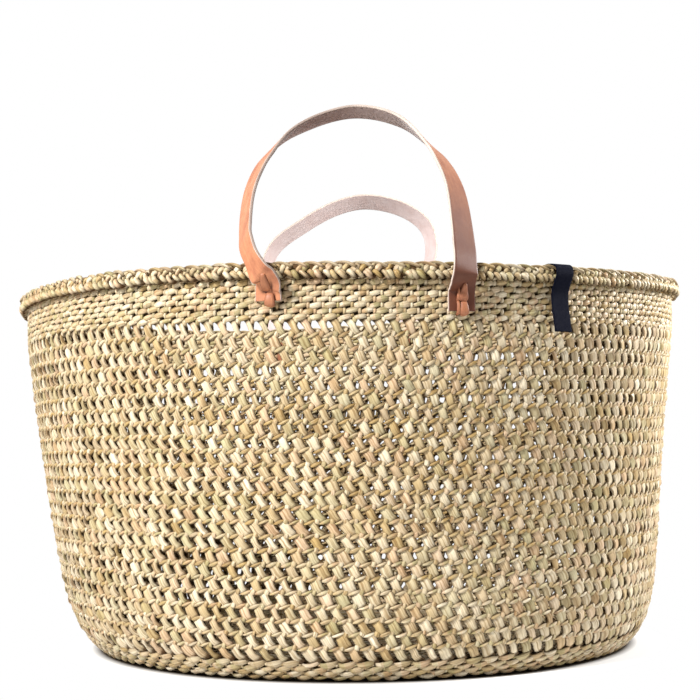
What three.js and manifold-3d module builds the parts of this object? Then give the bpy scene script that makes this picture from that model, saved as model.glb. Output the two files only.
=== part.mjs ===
// Round floor basket of twined grass with two leather strap handles.
// Millimetres, +Z up. The origin is on the floor under the centre of the rim,
// and the front handle is towards -Y. Angles round the basket are in degrees from
// the front (-Y), growing towards the right (+X).
import * as THREE from 'three';
import { mergeVertices } from 'three/addons/utils/BufferGeometryUtils.js';
import Module from 'manifold-3d';

// Fits and roundness
const CLEARANCE = 0.3;            // gap between pieces that touch on the real basket
const ROUND_SEGMENTS = 40;        // flats round the basket
const WELD_DISTANCE = 0.0001;     // vertices closer than this are one vertex

// Basket body
const BASKET_HEIGHT = 280;        // floor to the top of the rim braid
const RIM_HEIGHT = 10;            // braid that closes the edge
const RIM_WIDTH = 11;
const RIM_SIDES = 8;              // flats round the braid's section
const RIM_OVERHANG = 7.5;         // how far the braid stands out past the band below it
const BAND_RADIUS = 263;          // outer face of the close-twined band
const BAND_HEIGHT = 27;
const BAND_THICKNESS = 6;
const SIDE_FOOT_RADIUS = 237;     // where the straight side would meet the floor
const FOOT_INSET = 17;            // how far the side turns in at the floor
const FOOT_INSET_HEIGHT = 15;     // how quickly that turn fades going up
const EDGE_HEIGHT = 14;           // tight rows where the base turns up into the side
const EDGE_THICKNESS = 6;
const EDGE_STEPS = [0, 0.15, 0.35, 0.6, 1];   // profile steps up the turn, as shares of its height
const BASE_THICKNESS = 5;
const BASE_RINGS = 12;            // rounds of the base's weave, wider than the real ones
const BASE_GROOVE = 1.6;          // hollow between two rounds, on the inside of the basket
const STAKE_THICKNESS = 2.4;      // upright grass stakes, taken together as one shell
const FLOOR_STEPS = [0, 0.12, 0.3, 0.6];      // profile steps below the lowest windows, as shares
const TWINE_ROWS = 23;            // open-twined rows on the side
const TWINE_HEIGHT = 4;
const TWINE_PROUD = 1.6;          // how far a row stands out from the stakes
const TWINE_CREST = 2.2;          // height of a row's outer flat
const WINDOW_FIRST_GAP = 3;       // lowest gap between rows that has windows, counted from the floor
const WINDOW_GAP_STEP = 2;        // windows in every second gap, wider than the real ones
const WINDOW_HEIGHT = 4.6;

// The basket stands a little out of true
const RIM_LIFT = 9;               // the right of the rim is this much higher than the left
const BASE_SHIFT = 8;             // the base lies this far to the right of the rim's centre

// Leather straps
const STRAP_WIDTH = 19;
const STRAP_THICKNESS = 2.5;
const FOOT_ANGLE = 14.5;          // middle of each strap foot, either side of the handle's middle
const LEFT_FOOT_DROP = 27.5;      // from the rim's top down to a foot's lower edge, seen from outside
const RIGHT_FOOT_DROP = 33;
const FLEX_ABOVE_RIM = 2;         // height of the line where the strap flexes, over the rim
const LOOP_END_ROUND = 37;        // degrees of rounding on the loop's ends at the flex line
const LOOP_STEPS = 28;

// Middle line of each strap loop, seen from outside the basket with the loop upright:
// [across, up] from the middle of the flex line, the feet added at both ends.
const FRONT_LOOP = {
  name: 'front',
  turn: 0,
  leanIn: 35,                     // degrees from upright, towards the mouth
  topTurn: 64,                    // how far the strap's face turns between foot and top
  turnLengths: [40, 80],          // length of strap that the turn takes on the left and right
  line: [
    [-77, 26], [-76, 50], [-66, 90], [-46, 119], [-5, 139], [27, 130], [48, 104], [61, 68], [66, 30],
  ],
};
const REAR_LOOP = {
  name: 'rear',
  turn: 180,
  leanIn: -10,
  topTurn: 57,
  turnLengths: [60, 60],
  line: [
    [-79, 32], [-91, 72], [-86, 98], [-64, 118], [-25, 130], [5, 126], [40, 109], [72, 84], [80, 45],
  ],
};
const LOOP_START = 6;             // straight stretch of strap just above the flex line

// Leather thongs that lace each foot to the band
const THONG_WIDTH = 6;
const THONG_THICKNESS = 2;
const THONG_CHAMFER = 0.8;
const THONG_DIP = 0.7;            // hollow between the two stitches that show
const LEFT_STITCHES = [6, 11.5];  // holes in a foot, up from its lower edge: middle and top
const RIGHT_STITCHES = [7, 17];

// Woven tape label folded over the rim
const LABEL_ANGLE = 31;
const LABEL_WIDTH = 15;
const LABEL_THICKNESS = 1;
const LABEL_OUTER_DROP = 44.5;    // from the rim's top down to the tape's ends
const LABEL_INNER_DROP = 32;

// Levels and radii that follow from the sizes above
const rimBottom = BASKET_HEIGHT - RIM_HEIGHT;
const rimMiddle = BASKET_HEIGHT - RIM_HEIGHT / 2;
const rimRadius = BAND_RADIUS + RIM_OVERHANG;
const rimInnerRadius = rimRadius - RIM_WIDTH;
const bandTop = rimBottom - CLEARANCE;
const bandBottom = bandTop - BAND_HEIGHT;
const bandInnerRadius = BAND_RADIUS - BAND_THICKNESS;
const stakeTop = bandBottom - CLEARANCE;
const stakeBottom = EDGE_HEIGHT + CLEARANCE;
const flatOfRound = Math.cos(Math.PI / ROUND_SEGMENTS);
const flexHeight = BASKET_HEIGHT + FLEX_ABOVE_RIM;
const strapInnerRadius = BAND_RADIUS + CLEARANCE;
const strapOuterRadius = strapInnerRadius + STRAP_THICKNESS;
const footTurn = THREE.MathUtils.degToRad(FOOT_ANGLE);
const footAcross = (strapInnerRadius + STRAP_THICKNESS / 2) * Math.sin(footTurn);
const strapOverRim = Math.sqrt(rimRadius ** 2 - (footAcross - STRAP_WIDTH / 2) ** 2) + CLEARANCE;
const flexOut = strapOverRim + STRAP_THICKNESS / 2;
const footTopInner = flexHeight - STRAP_THICKNESS / 2;
const footTopOuter = flexHeight - STRAP_THICKNESS - CLEARANCE;
const rimFlat = RIM_HEIGHT / 2 * Math.tan(Math.PI / RIM_SIDES);
const jogTop = rimMiddle - rimFlat - CLEARANCE;
const jogBottom = jogTop - RIM_OVERHANG;

// Materials
const grass = new THREE.MeshStandardMaterial({ color: 0xcdb888, roughness: 0.75, metalness: 0 });
const twine = new THREE.MeshStandardMaterial({ color: 0xd9c594, roughness: 0.7, metalness: 0 });
const leather = new THREE.MeshStandardMaterial({ color: 0xb57a5a, roughness: 0.55, metalness: 0 });
const tape = new THREE.MeshStandardMaterial({ color: 0x1d1f30, roughness: 0.85, metalness: 0 });

const solids = await Module();
solids.setup();

const basket = new THREE.Group();

// One closed mesh: only positions, shared vertices merged, no triangle without area
function welded(geometry) {
  const bare = geometry.clone();
  bare.deleteAttribute('normal');
  bare.deleteAttribute('uv');
  const merged = mergeVertices(bare, WELD_DISTANCE);
  const kept = [];
  const index = merged.index.array;
  for (let i = 0; i < index.length; i += 3) {
    const [a, b, c] = [index[i], index[i + 1], index[i + 2]];
    if (a !== b && b !== c && c !== a) kept.push(a, b, c);
  }
  merged.setIndex(kept);
  return merged;
}

function toSolid(geometry) {
  const merged = welded(geometry);
  const vertProperties = Float32Array.from(merged.attributes.position.array);
  const triVerts = Uint32Array.from(merged.index.array);
  return new solids.Manifold(new solids.Mesh({ numProp: 3, vertProperties, triVerts }));
}

function cut(geometry, tools) {
  let solid = toSolid(geometry);
  for (const tool of tools) solid = solid.subtract(toSolid(tool));
  const mesh = solid.getMesh();
  const result = new THREE.BufferGeometry();
  result.setAttribute('position', new THREE.BufferAttribute(Float32Array.from(mesh.vertProperties), 3));
  result.setIndex(Array.from(mesh.triVerts));
  return result;
}

// The hand-made lean: heights grow towards the right, and the base shifts to the right
function settle(geometry) {
  const position = geometry.attributes.position;
  for (let i = 0; i < position.count; i += 1) {
    const [x, y, z] = [position.getX(i), position.getY(i), position.getZ(i)];
    const rise = Math.min(z / BASKET_HEIGHT, 1);
    const lift = RIM_LIFT / 2 * x / rimRadius * rise;
    position.setXYZ(i, x + BASE_SHIFT * (1 - rise), y, z + lift);
  }
  return geometry;
}

function addPiece(name, geometry, material) {
  const shaped = settle(welded(geometry));
  shaped.computeVertexNormals();
  const mesh = new THREE.Mesh(shaped, material);
  mesh.name = name;
  basket.add(mesh);
}

// Ring round the basket from [radius, height] points, the outer side going up
function round(profile) {
  const points = profile.map(([radius, height]) => new THREE.Vector2(radius, height));
  const lathe = new THREE.LatheGeometry(points, ROUND_SEGMENTS, Math.PI / ROUND_SEGMENTS, 2 * Math.PI);
  return lathe.rotateX(Math.PI / 2);
}

function closedRing(profile) {
  return round([...profile, profile[0]]);
}

// Ring round the basket with [radius, height] points up its outer face. Between two heights,
// solid(band, flat) says which flats are there and which are windows.
function latticeRing(outer, thickness, solid) {
  const bands = outer.length - 1;
  const corners = [];
  for (const [radius, height] of outer) {
    for (let flat = 0; flat < ROUND_SEGMENTS; flat += 1) {
      const turn = (2 * flat + 1) * Math.PI / ROUND_SEGMENTS;
      const out = new THREE.Vector3(Math.sin(turn), -Math.cos(turn), 0);
      corners.push(out.clone().multiplyScalar(radius).setZ(height));
      corners.push(out.clone().multiplyScalar(radius - thickness).setZ(height));
    }
  }
  const outerCorner = (level, flat) => 2 * (level * ROUND_SEGMENTS + flat % ROUND_SEGMENTS);
  const innerCorner = (level, flat) => outerCorner(level, flat) + 1;
  const there = (band, flat) => band >= 0 && band < bands && solid(band, flat % ROUND_SEGMENTS);
  const index = [];
  const addFace = (flip, a, b, c, d) => {
    if (flip) index.push(a, c, b, a, d, c);
    else index.push(a, b, c, a, c, d);
  };
  for (let level = 0; level <= bands; level += 1) {
    for (let flat = 0; flat < ROUND_SEGMENTS; flat += 1) {
      const [out, outNext] = [outerCorner(level, flat), outerCorner(level, flat + 1)];
      const [inside, insideNext] = [innerCorner(level, flat), innerCorner(level, flat + 1)];
      const [above, below] = [there(level, flat), there(level - 1, flat)];
      const before = there(level, flat + ROUND_SEGMENTS - 1);
      if (above !== below) addFace(above, out, outNext, insideNext, inside);
      if (above) {
        addFace(false, out, outNext, outerCorner(level + 1, flat + 1), outerCorner(level + 1, flat));
        addFace(true, inside, insideNext, innerCorner(level + 1, flat + 1), innerCorner(level + 1, flat));
      }
      if (above !== before) {
        addFace(before, out, outerCorner(level + 1, flat), innerCorner(level + 1, flat), inside);
      }
    }
  }
  const geometry = new THREE.BufferGeometry().setFromPoints(corners);
  geometry.setIndex(index);
  return geometry;
}

// Radius of the outermost strands at a height on the open side
function sideRadius(height) {
  const slope = (BAND_RADIUS - SIDE_FOOT_RADIUS) * height / bandBottom;
  return SIDE_FOOT_RADIUS + slope - FOOT_INSET * Math.exp(-height / FOOT_INSET_HEIGHT);
}

function stakeRadius(height) {
  return sideRadius(height) - TWINE_PROUD - CLEARANCE;
}

// Place [along the tangent, out from the axis, up] at an angle round the basket
function placed(geometry, angle) {
  return geometry.rotateZ(THREE.MathUtils.degToRad(angle));
}

// Strap or tape from stations, each with an inner and outer point and a direction across
function strip(stations, width) {
  const corners = [];
  for (const { inner, outer, across } of stations) {
    const side = across.clone().multiplyScalar(width / 2);
    corners.push(inner.clone().sub(side), inner.clone().add(side));
    corners.push(outer.clone().add(side), outer.clone().sub(side));
  }
  const index = [];
  for (let s = 0; s + 1 < stations.length; s += 1) {
    for (let k = 0; k < 4; k += 1) {
      const a = 4 * s + k;
      const b = 4 * s + (k + 1) % 4;
      index.push(a, a + 4, b, b, a + 4, b + 4);
    }
  }
  const last = corners.length - 4;
  index.push(0, 1, 2, 0, 2, 3, last, last + 2, last + 1, last, last + 3, last + 2);
  const geometry = new THREE.BufferGeometry().setFromPoints(corners);
  geometry.setIndex(index);
  return geometry;
}

// The same path moved sideways by a distance, to the right of its direction
function offsetPath(path, distance) {
  const points = path.map(([x, y]) => new THREE.Vector2(x, y));
  const rights = points.slice(1).map((point, i) => {
    const along = point.clone().sub(points[i]).normalize();
    return new THREE.Vector2(along.y, -along.x);
  });
  return points.map((point, i) => {
    const before = rights[Math.max(i - 1, 0)];
    const after = rights[Math.min(i, rights.length - 1)];
    const middle = before.clone().add(after).normalize();
    const moved = point.clone().addScaledVector(middle, distance / middle.dot(after));
    return [moved.x, moved.y];
  });
}

// Base, tight edge, stakes and twined rows
function addBody() {
  const baseRadius = sideRadius(0) - EDGE_THICKNESS - CLEARANCE;
  const disc = [[0, 0], [baseRadius, 0]];
  for (let ring = BASE_RINGS; ring > 0; ring -= 1) {
    const step = baseRadius / BASE_RINGS;
    disc.push([ring * step, BASE_THICKNESS - BASE_GROOVE], [(ring - 0.5) * step, BASE_THICKNESS]);
  }
  disc.push([0, BASE_THICKNESS - BASE_GROOVE]);
  addPiece('woven_base', round(disc), grass);

  const edgeOuter = [];
  const edgeInner = [];
  for (const share of EDGE_STEPS) {
    const height = share * EDGE_HEIGHT;
    edgeOuter.push([sideRadius(height), height]);
    edgeInner.unshift([sideRadius(height) - EDGE_THICKNESS, height]);
  }
  addPiece('tight_base_edge', closedRing([...edgeOuter, ...edgeInner]), twine);

  const pitch = (stakeTop - stakeBottom) / (TWINE_ROWS + 1);
  const firstWindow = stakeBottom + (WINDOW_FIRST_GAP + 0.5) * pitch - WINDOW_HEIGHT / 2;
  const heights = FLOOR_STEPS.map((share) => stakeBottom + share * (firstWindow - stakeBottom));
  for (let gap = WINDOW_FIRST_GAP; gap <= TWINE_ROWS; gap += WINDOW_GAP_STEP) {
    const middle = stakeBottom + (gap + 0.5) * pitch;
    heights.push(middle - WINDOW_HEIGHT / 2, middle + WINDOW_HEIGHT / 2);
  }
  const stakeOuter = [...heights, stakeTop].map((height) => [stakeRadius(height), height]);
  // A window band follows every two heights, and its windows lie over the solid flats of the last one
  const solid = (band, flat) => {
    const up = band - FLOOR_STEPS.length;
    return up < 0 || up % 2 !== 0 || (flat + up / 2) % 2 === 0;
  };
  addPiece('stake_wall', latticeRing(stakeOuter, STAKE_THICKNESS, solid), grass);

  for (let row = 0; row < TWINE_ROWS; row += 1) {
    const middle = stakeBottom + (row + 1) * pitch;
    const crest = TWINE_CREST / 2;
    const foot = TWINE_HEIGHT / 2;
    const section = [[-foot, 0], [-crest, TWINE_PROUD], [crest, TWINE_PROUD], [foot, 0]];
    const profile = section.map(([rise, proud]) => {
      const height = middle + rise;
      return [stakeRadius(height) + CLEARANCE + proud, height];
    });
    addPiece(`twine_row_${String(row + 1).padStart(2, '0')}`, closedRing(profile), twine);
  }
}

// Braid along the edge, with flats on its top, bottom and sides
function addRim() {
  const middleRadius = rimRadius - RIM_WIDTH / 2;
  const halfFlat = Math.PI / RIM_SIDES;
  const reach = 1 / Math.cos(halfFlat);
  const profile = [];
  for (let corner = 0; corner < RIM_SIDES; corner += 1) {
    const turn = halfFlat * (1 + 2 * corner);
    const out = RIM_WIDTH / 2 * reach * Math.cos(turn);
    profile.push([middleRadius + out, rimMiddle + RIM_HEIGHT / 2 * reach * Math.sin(turn)]);
  }
  addPiece('rim_braid', closedRing(profile), twine);
}

const loops = [FRONT_LOOP, REAR_LOOP];
const feet = [
  { side: 'left', angle: -FOOT_ANGLE, bottom: BASKET_HEIGHT - LEFT_FOOT_DROP, stitches: LEFT_STITCHES },
  { side: 'right', angle: FOOT_ANGLE, bottom: BASKET_HEIGHT - RIGHT_FOOT_DROP, stitches: RIGHT_STITCHES },
];

// Heights of a thong's three passes through the band: under the foot, and its two holes
function passHeights({ bottom, stitches }) {
  return [bottom - CLEARANCE - THONG_THICKNESS / 2, ...stitches.map((rise) => bottom + rise)];
}

// Slots that the thong's passes need, cut through both the foot and the band
function thongSlots(foot, turn) {
  return passHeights(foot).map((height) => {
    const depth = 2 * (strapOuterRadius - bandInnerRadius);
    const width = THONG_WIDTH + 2 * CLEARANCE;
    const slot = new THREE.BoxGeometry(width, depth, THONG_THICKNESS + 2 * CLEARANCE);
    slot.translate(0, -(strapOuterRadius + bandInnerRadius) / 2, height);
    return placed(slot, foot.angle + turn);
  });
}

// Close-twined band, with a slot for every pass of the thongs
function addBand() {
  const profile = [
    [bandInnerRadius, bandBottom], [BAND_RADIUS, bandBottom],
    [BAND_RADIUS, bandTop], [bandInnerRadius, bandTop],
  ];
  const slots = loops.flatMap(({ turn }) => feet.flatMap((foot) => thongSlots(foot, turn)));
  addPiece('close_twined_band', cut(closedRing(profile), slots), twine);
}

// Fixed end of a strap: flat on the band, out over the rim, then level with the flex line
function addFoot(foot, loop) {
  const angle = THREE.MathUtils.degToRad(foot.angle);
  const outward = new THREE.Vector3(Math.sin(angle), -Math.cos(angle), 0);
  const onBand = new THREE.Vector3(Math.cos(angle), Math.sin(angle), 0);
  const acrossRim = new THREE.Vector3(1, 0, 0);
  const flat = [foot.bottom, jogBottom].map((height) => ({
    inner: outward.clone().multiplyScalar(strapInnerRadius).setZ(height),
    outer: outward.clone().multiplyScalar(strapOuterRadius).setZ(height),
    across: onBand,
  }));
  const centre = Math.sign(foot.angle) * footAcross;
  const overRim = [[jogTop, jogTop], [footTopInner, footTopOuter]];
  const upper = overRim.map(([innerHeight, outerHeight]) => ({
    inner: new THREE.Vector3(centre, -strapOverRim, innerHeight),
    outer: new THREE.Vector3(centre, -strapOverRim - STRAP_THICKNESS, outerHeight),
    across: acrossRim,
  }));
  const strap = placed(strip([...flat, ...upper], STRAP_WIDTH), loop.turn);
  addPiece(`${loop.name}_strap_foot_${foot.side}`, cut(strap, thongSlots(foot, loop.turn)), leather);
}

// Thong laced through one foot: two stitches outside, three passes and a bar inside
function addThong(foot, loop) {
  const half = THONG_THICKNESS / 2;
  const [low, middle, top] = passHeights(foot);
  const innerFace = bandInnerRadius * flatOfRound - CLEARANCE;
  const back = innerFace - THONG_THICKNESS;
  const outerFace = strapOuterRadius + CLEARANCE;
  const front = outerFace + THONG_THICKNESS;
  const outline = new THREE.Shape([
    [back, low - half], [front - THONG_CHAMFER, low - half], [front, low - half + THONG_CHAMFER],
    [front, middle - THONG_CHAMFER], [front - THONG_DIP, middle], [front, middle + THONG_CHAMFER],
    [front, top + half - THONG_CHAMFER], [front - THONG_CHAMFER, top + half], [back, top + half],
  ].map(([out, up]) => new THREE.Vector2(out, up)));
  for (const [from, to] of [[low + half, middle - half], [middle + half, top - half]]) {
    const corners = [[innerFace, from], [innerFace, to], [outerFace, to], [outerFace, from]];
    outline.holes.push(new THREE.Path(corners.map(([out, up]) => new THREE.Vector2(out, up))));
  }
  const thong = new THREE.ExtrudeGeometry(outline, { depth: THONG_WIDTH, bevelEnabled: false });
  thong.translate(0, 0, -THONG_WIDTH / 2);
  thong.rotateX(Math.PI / 2);
  thong.rotateZ(-Math.PI / 2);
  addPiece(`${loop.name}_thong_${foot.side}`, placed(thong, foot.angle + loop.turn), leather);
}

function eased(share) {
  const clamped = THREE.MathUtils.clamp(share, 0, 1);
  return clamped * clamped * (3 - 2 * clamped);
}

// Moving part of a strap: an arch in a leaning plane, its face turning between foot and top
function addLoop(loop) {
  const lean = THREE.MathUtils.degToRad(loop.leanIn);
  const up = new THREE.Vector3(0, Math.sin(lean), Math.cos(lean));
  const outward = new THREE.Vector3(0, -Math.cos(lean), Math.sin(lean));
  const line = [
    [-footAcross, 0], [-footAcross, LOOP_START],
    ...loop.line,
    [footAcross, LOOP_START], [footAcross, 0],
  ];
  const flexMiddle = new THREE.Vector3(0, -flexOut, flexHeight);
  const points = line.map(([across, rise]) => flexMiddle.clone().addScaledVector(up, rise).setX(across));
  const curve = new THREE.CatmullRomCurve3(points, false, 'centripetal');
  const length = curve.getLength();
  const stations = [];
  const addStation = (middle, along, turn, thickness) => {
    const sideways = outward.clone().cross(along);
    const face = outward.clone().multiplyScalar(Math.cos(turn)).addScaledVector(sideways, Math.sin(turn));
    stations.push({
      inner: middle.clone().addScaledVector(face, -thickness / 2),
      outer: middle.clone().addScaledVector(face, thickness / 2),
      across: along.clone().cross(face).normalize(),
    });
  };
  const rounding = THREE.MathUtils.degToRad(LOOP_END_ROUND);
  const addRoundEnd = (end, along) => {
    const nose = end.clone().addScaledVector(up, -STRAP_THICKNESS / 2 * Math.sin(rounding));
    addStation(nose, along, 0, STRAP_THICKNESS * Math.cos(rounding));
  };
  addRoundEnd(points[0], up);
  for (let step = 0; step <= LOOP_STEPS; step += 1) {
    const share = step / LOOP_STEPS;
    const left = eased(share * length / loop.turnLengths[0]);
    const right = eased((1 - share) * length / loop.turnLengths[1]);
    const turn = THREE.MathUtils.degToRad(loop.topTurn) * Math.min(left, right);
    addStation(curve.getPointAt(share), curve.getTangentAt(share), turn, STRAP_THICKNESS);
  }
  addRoundEnd(points[points.length - 1], up.clone().negate());
  addPiece(`${loop.name}_strap_loop`, placed(strip(stations, STRAP_WIDTH), loop.turn), leather);
}

// Tape folded over the rim, hanging down the band outside and inside
function addLabel() {
  const overRim = BASKET_HEIGHT + CLEARANCE;
  const rimOut = rimRadius + CLEARANCE;
  const hangOut = BAND_RADIUS + CLEARANCE;
  const hangIn = Math.min(rimInnerRadius, bandInnerRadius) * flatOfRound - CLEARANCE;
  const inside = [
    [hangOut, BASKET_HEIGHT - LABEL_OUTER_DROP], [hangOut, jogBottom], [rimOut, jogTop],
    [rimOut, overRim - RIM_HEIGHT / 4], [rimOut - RIM_WIDTH / 4, overRim],
    [hangIn + RIM_WIDTH / 4, overRim], [hangIn, overRim - RIM_HEIGHT / 4],
    [hangIn, BASKET_HEIGHT - LABEL_INNER_DROP],
  ];
  const outside = offsetPath(inside, LABEL_THICKNESS);
  const stations = inside.map(([radius, height], i) => ({
    inner: new THREE.Vector3(0, -radius, height),
    outer: new THREE.Vector3(0, -outside[i][0], outside[i][1]),
    across: new THREE.Vector3(1, 0, 0),
  }));
  addPiece('label_tape', placed(strip(stations, LABEL_WIDTH), LABEL_ANGLE), tape);
}

addBody();
addBand();
addRim();
for (const loop of loops) {
  addLoop(loop);
  for (const foot of feet) {
    addFoot(foot, loop);
    addThong(foot, loop);
  }
}
addLabel();

export default basket;
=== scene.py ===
"""Twined grass floor basket with two leather strap handles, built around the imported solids."""
import math
from collections import namedtuple
from functools import partial

import bpy
import numpy as np
from bpy.props import FloatProperty, FloatVectorProperty, IntProperty, PointerProperty
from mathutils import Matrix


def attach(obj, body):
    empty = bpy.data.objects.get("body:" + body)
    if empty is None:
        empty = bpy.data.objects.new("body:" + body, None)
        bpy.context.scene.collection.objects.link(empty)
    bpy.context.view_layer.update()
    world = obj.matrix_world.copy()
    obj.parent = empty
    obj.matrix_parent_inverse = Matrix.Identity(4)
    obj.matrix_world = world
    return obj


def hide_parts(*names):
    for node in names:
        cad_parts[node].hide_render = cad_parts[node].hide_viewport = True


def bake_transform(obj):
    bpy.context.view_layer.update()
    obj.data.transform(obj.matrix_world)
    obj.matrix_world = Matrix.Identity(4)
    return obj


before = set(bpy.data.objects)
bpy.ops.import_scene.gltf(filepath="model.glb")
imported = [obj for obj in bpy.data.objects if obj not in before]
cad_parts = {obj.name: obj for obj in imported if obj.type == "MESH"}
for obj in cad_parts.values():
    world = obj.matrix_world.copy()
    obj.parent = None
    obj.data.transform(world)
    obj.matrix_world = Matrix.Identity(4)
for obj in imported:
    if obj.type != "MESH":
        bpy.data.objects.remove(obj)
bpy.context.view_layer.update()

bl_info = {
    "name": "Twined Floor Basket",
    "version": (1, 0, 0),
    "blender": (4, 5, 0),
    "location": "View3D > Sidebar > Basket",
    "description": "Weaves a round grass basket with a plaited rim, strap handles and a folded tag",
    "category": "Object",
}

FULL_TURN = 2 * math.pi
MM = 0.001

# Each strap in millimetres and degrees, seen from outside the basket with its loop upright.
# turn is its place round the basket and lean_in its lean towards the mouth. feet are the middles of its feet,
# and starts the places where its two legs leave the rim, across from the handle's middle.
# A twist is a list of (distance past the flex line, turn of the strap's face) along one leg.
# line is the middle of the loop: (across, up) from the middle of the flex line.
FRONT_LOOP = {
    "name": "front",
    "turn": 0,
    "lean_in": 35,
    "feet": (-59.7, 67.2),
    "starts": (-71, 69.8),
    "left_twist": [(-36, 8), (-22, 17), (-12, 29), (-7, 40), (-3, 52), (2, 62), (8, 67), (22, 66),
                   (50, 62), (72, 56), (94, 53), (115, 62), (140, 68)],
    "right_twist": [(-22, 0), (-8, 17), (2, 30), (12, 35), (55, 40), (82, 43), (95, 48), (118, 62),
                    (145, 68)],
    "line": [(-74, 13), (-74.6, 25), (-73.6, 49), (-70, 70), (-62, 92), (-42.6, 119), (-1, 139),
             (31, 130), (52, 104), (58.5, 92), (66, 67), (68.8, 29)],
}
REAR_LOOP = {
    "name": "rear",
    "turn": 180,
    "lean_in": -10,
    "feet": (-66.2, 66.2),
    "starts": (-66.5, 66.5),
    "left_twist": [(0, 0), (20, 15), (40, 42), (60, 57)],
    "right_twist": [(0, 0), (20, 15), (40, 42), (60, 57)],
    "line": [(-80, 32), (-92.4, 72), (-87.8, 98), (-66, 118), (-27.2, 130), (2.8, 126), (38, 109),
             (70.4, 84), (79, 45)],
}
LOOPS = (FRONT_LOOP, REAR_LOOP)

# How far a strap foot stands out from the band in millimetres: (below the top of the rim, out).
# The first pair is moved to the foot's own lower edge.
FOOT_OUT = [(35, 0.3), (20, 0.6), (17, 1.8), (14, 5.2), (10.5, 9.4), (7, 11.5)]

# Holes and slits of each strap foot, drawn as painted shade, in millimetres: (across, up, half width, half
# height, how dark)
FOOT_HOLE_SHADE = {
    "left": [(0.2, 18.2, 1.5, 1.3, 1.4), (-5.2, 17.0, 4.4, 0.6, 1.1), (3.2, 11.0, 0.8, 4.6, 1.1),
             (-1.6, 6.2, 1.8, 1.1, 1.3), (4.9, 3.0, 0.7, 3.2, 0.9)],
    "right": [(-0.4, 20.6, 1.4, 1.5, 1.4), (3.2, 14.0, 0.9, 4.6, 1.0), (-4.8, 11.0, 0.7, 4.0, 0.9),
              (0.0, 6.6, 4.6, 0.7, 1.2), (4.6, 3.0, 0.8, 3.6, 0.9), (-4.7, 3.0, 0.6, 3.6, 0.8)],
}

# Stitches of thong over each strap foot in millimetres: (across, low, high, width, how proud, share of the
# width left at the top)
LACING = {
    "left": [(-0.6, 6.8, 16.6, 6.6, 1.2, 0.3), (1.5, -3.2, 5.0, 7.4, 1.9, 0.5)],
    "right": [(0.4, 7.0, 17.8, 6.2, 2.0, 0.05), (-3.0, 7.2, 15.0, 2.8, 1.4, 0.05),
              (0.8, -2.4, 6.4, 6.2, 2.0, 0.5), (-3.1, -1.8, 6.2, 2.8, 1.5, 0.5)],
}

# Camera and lamps: places in metres, turns in degrees, shift in pixels of the photograph's width
CAMERA_PLACE = (-0.0314, -1.1996, 0.1626)
CAMERA_TURN = (90, 0.8, -1.5)
PHOTO_WIDTH = 700
PHOTO_SHIFT = (-1.5, 92)
Lamp = namedtuple("Lamp", "name place aim breadth power")
LAMPS = (Lamp("key_light", (-1.5, -1.55, 1.65), (0, 0, 0.15), 0.4, "key_power"),
         Lamp("side_light", (0.82, -0.02, 0.56), (0.2, 0, 0.5), 0.25, "side_power"))
FLOOR_REACH = 4.0
FLOOR_DROP = 0.2 * MM       # how far the floor lies under the basket
SENSOR_WIDTH = 36           # millimetres

# Folds of the tag in millimetres: (away from the face it lies on, below its top), and how far its outer end
# stands away
TAG_FLARE = 5.6
TAG_OUTSIDE = [(4.2, 36), (2.6, 26), (2.8, 18)]
TAG_OVER_RIM = [(-1.6, 11), (0.6, 6), (-0.8, 0.8), (-5.5, -0.6)]
TAG_INSIDE = [(3, 0), (0, 5), (0, 16)]

# How one row of twine is twisted. swing is how far its strands go out and in, and rise how far they climb.
# ends is the share of a stitch's height left at its ends, plateau how long it stays in front, and deeper how
# much deeper its colour is.
Twist = namedtuple("Twist", "height depth swing rise ends plateau deeper", defaults=(0.5, 1.4, 0.0))

# First seed of each group of pieces
SEEDS = {"stake_ends": 11, "stakes": 100, "open_rows": 200, "band": 300, "base_edge": 400, "base": 500,
         "rim": 600, "straps": 700, "thongs": 800, "tag": 900}

CLOSE_ROWS_TOGETHER = 4     # close rows in one piece
SHADE_SHEET_STEPS = 180          # steps round the thin dark rings of painted shade behind close rows and in the plait
BASE_SPOKES = 72
STAKE_STREAKS = 0.75        # how strongly stakes and twine are streaked
TWINE_STREAKS = 0.6
STAKE_PALENESS = 0.1        # how much paler the stakes' green and rosy blades are

# What a finish gives its material, the colours that streak grass and mottle and pit leather, and the colours
# of painted shade: in grass recesses, on leather (with a darker tone) and round the base on the floor
FINISH_OUTPUTS = [("Colour", "NodeSocketColor"), ("Roughness", "NodeSocketFloat"),
                  ("Height", "NodeSocketFloat")]
WHITE = (1, 1, 1, 1)
STREAK_STAIN = (0.42, 0.31, 0.19, 1)
FIBRE_STAIN = (0.55, 0.45, 0.32, 1)
RECESS_PAINTED_SHADE = (0.09, 0.05, 0.018, 1)
PIT_STAIN = (0.45, 0.35, 0.3, 1)
GRAIN_SHADE_AND_TONE = (0.085, 0.024, 0.012, 1)
FLESH_PAINTED_SHADE = (0.24, 0.085, 0.055, 1)
FLESH_MOTTLE = (0.88, 0.82, 0.80)
FLOOR_CONTACT_SHADOW = (0.07, 0.055, 0.04, 1)


def size(name, description, default):
    """A length in metres that a user can change"""
    return FloatProperty(name=name, description=description, default=default,
                         unit="LENGTH", subtype="DISTANCE", precision=5)


def share(name, description, default):
    """A plain factor"""
    return FloatProperty(name=name, description=description, default=default, precision=3)


def whole(name, description, default):
    """A whole number"""
    return IntProperty(name=name, description=description, default=default)


def watts(name, description, default):
    """The power of a lamp"""
    return FloatProperty(name=name, description=description, default=default, unit="POWER")


def angle(name, description, degrees):
    """An angle, given in degrees"""
    return FloatProperty(name=name, description=description, default=math.radians(degrees),
                         unit="ROTATION", subtype="ANGLE")


def colour(name, description, default):
    """A linear colour"""
    return FloatVectorProperty(name=name, description=description, default=default,
                               subtype="COLOR", size=3, min=0, max=1)


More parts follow.
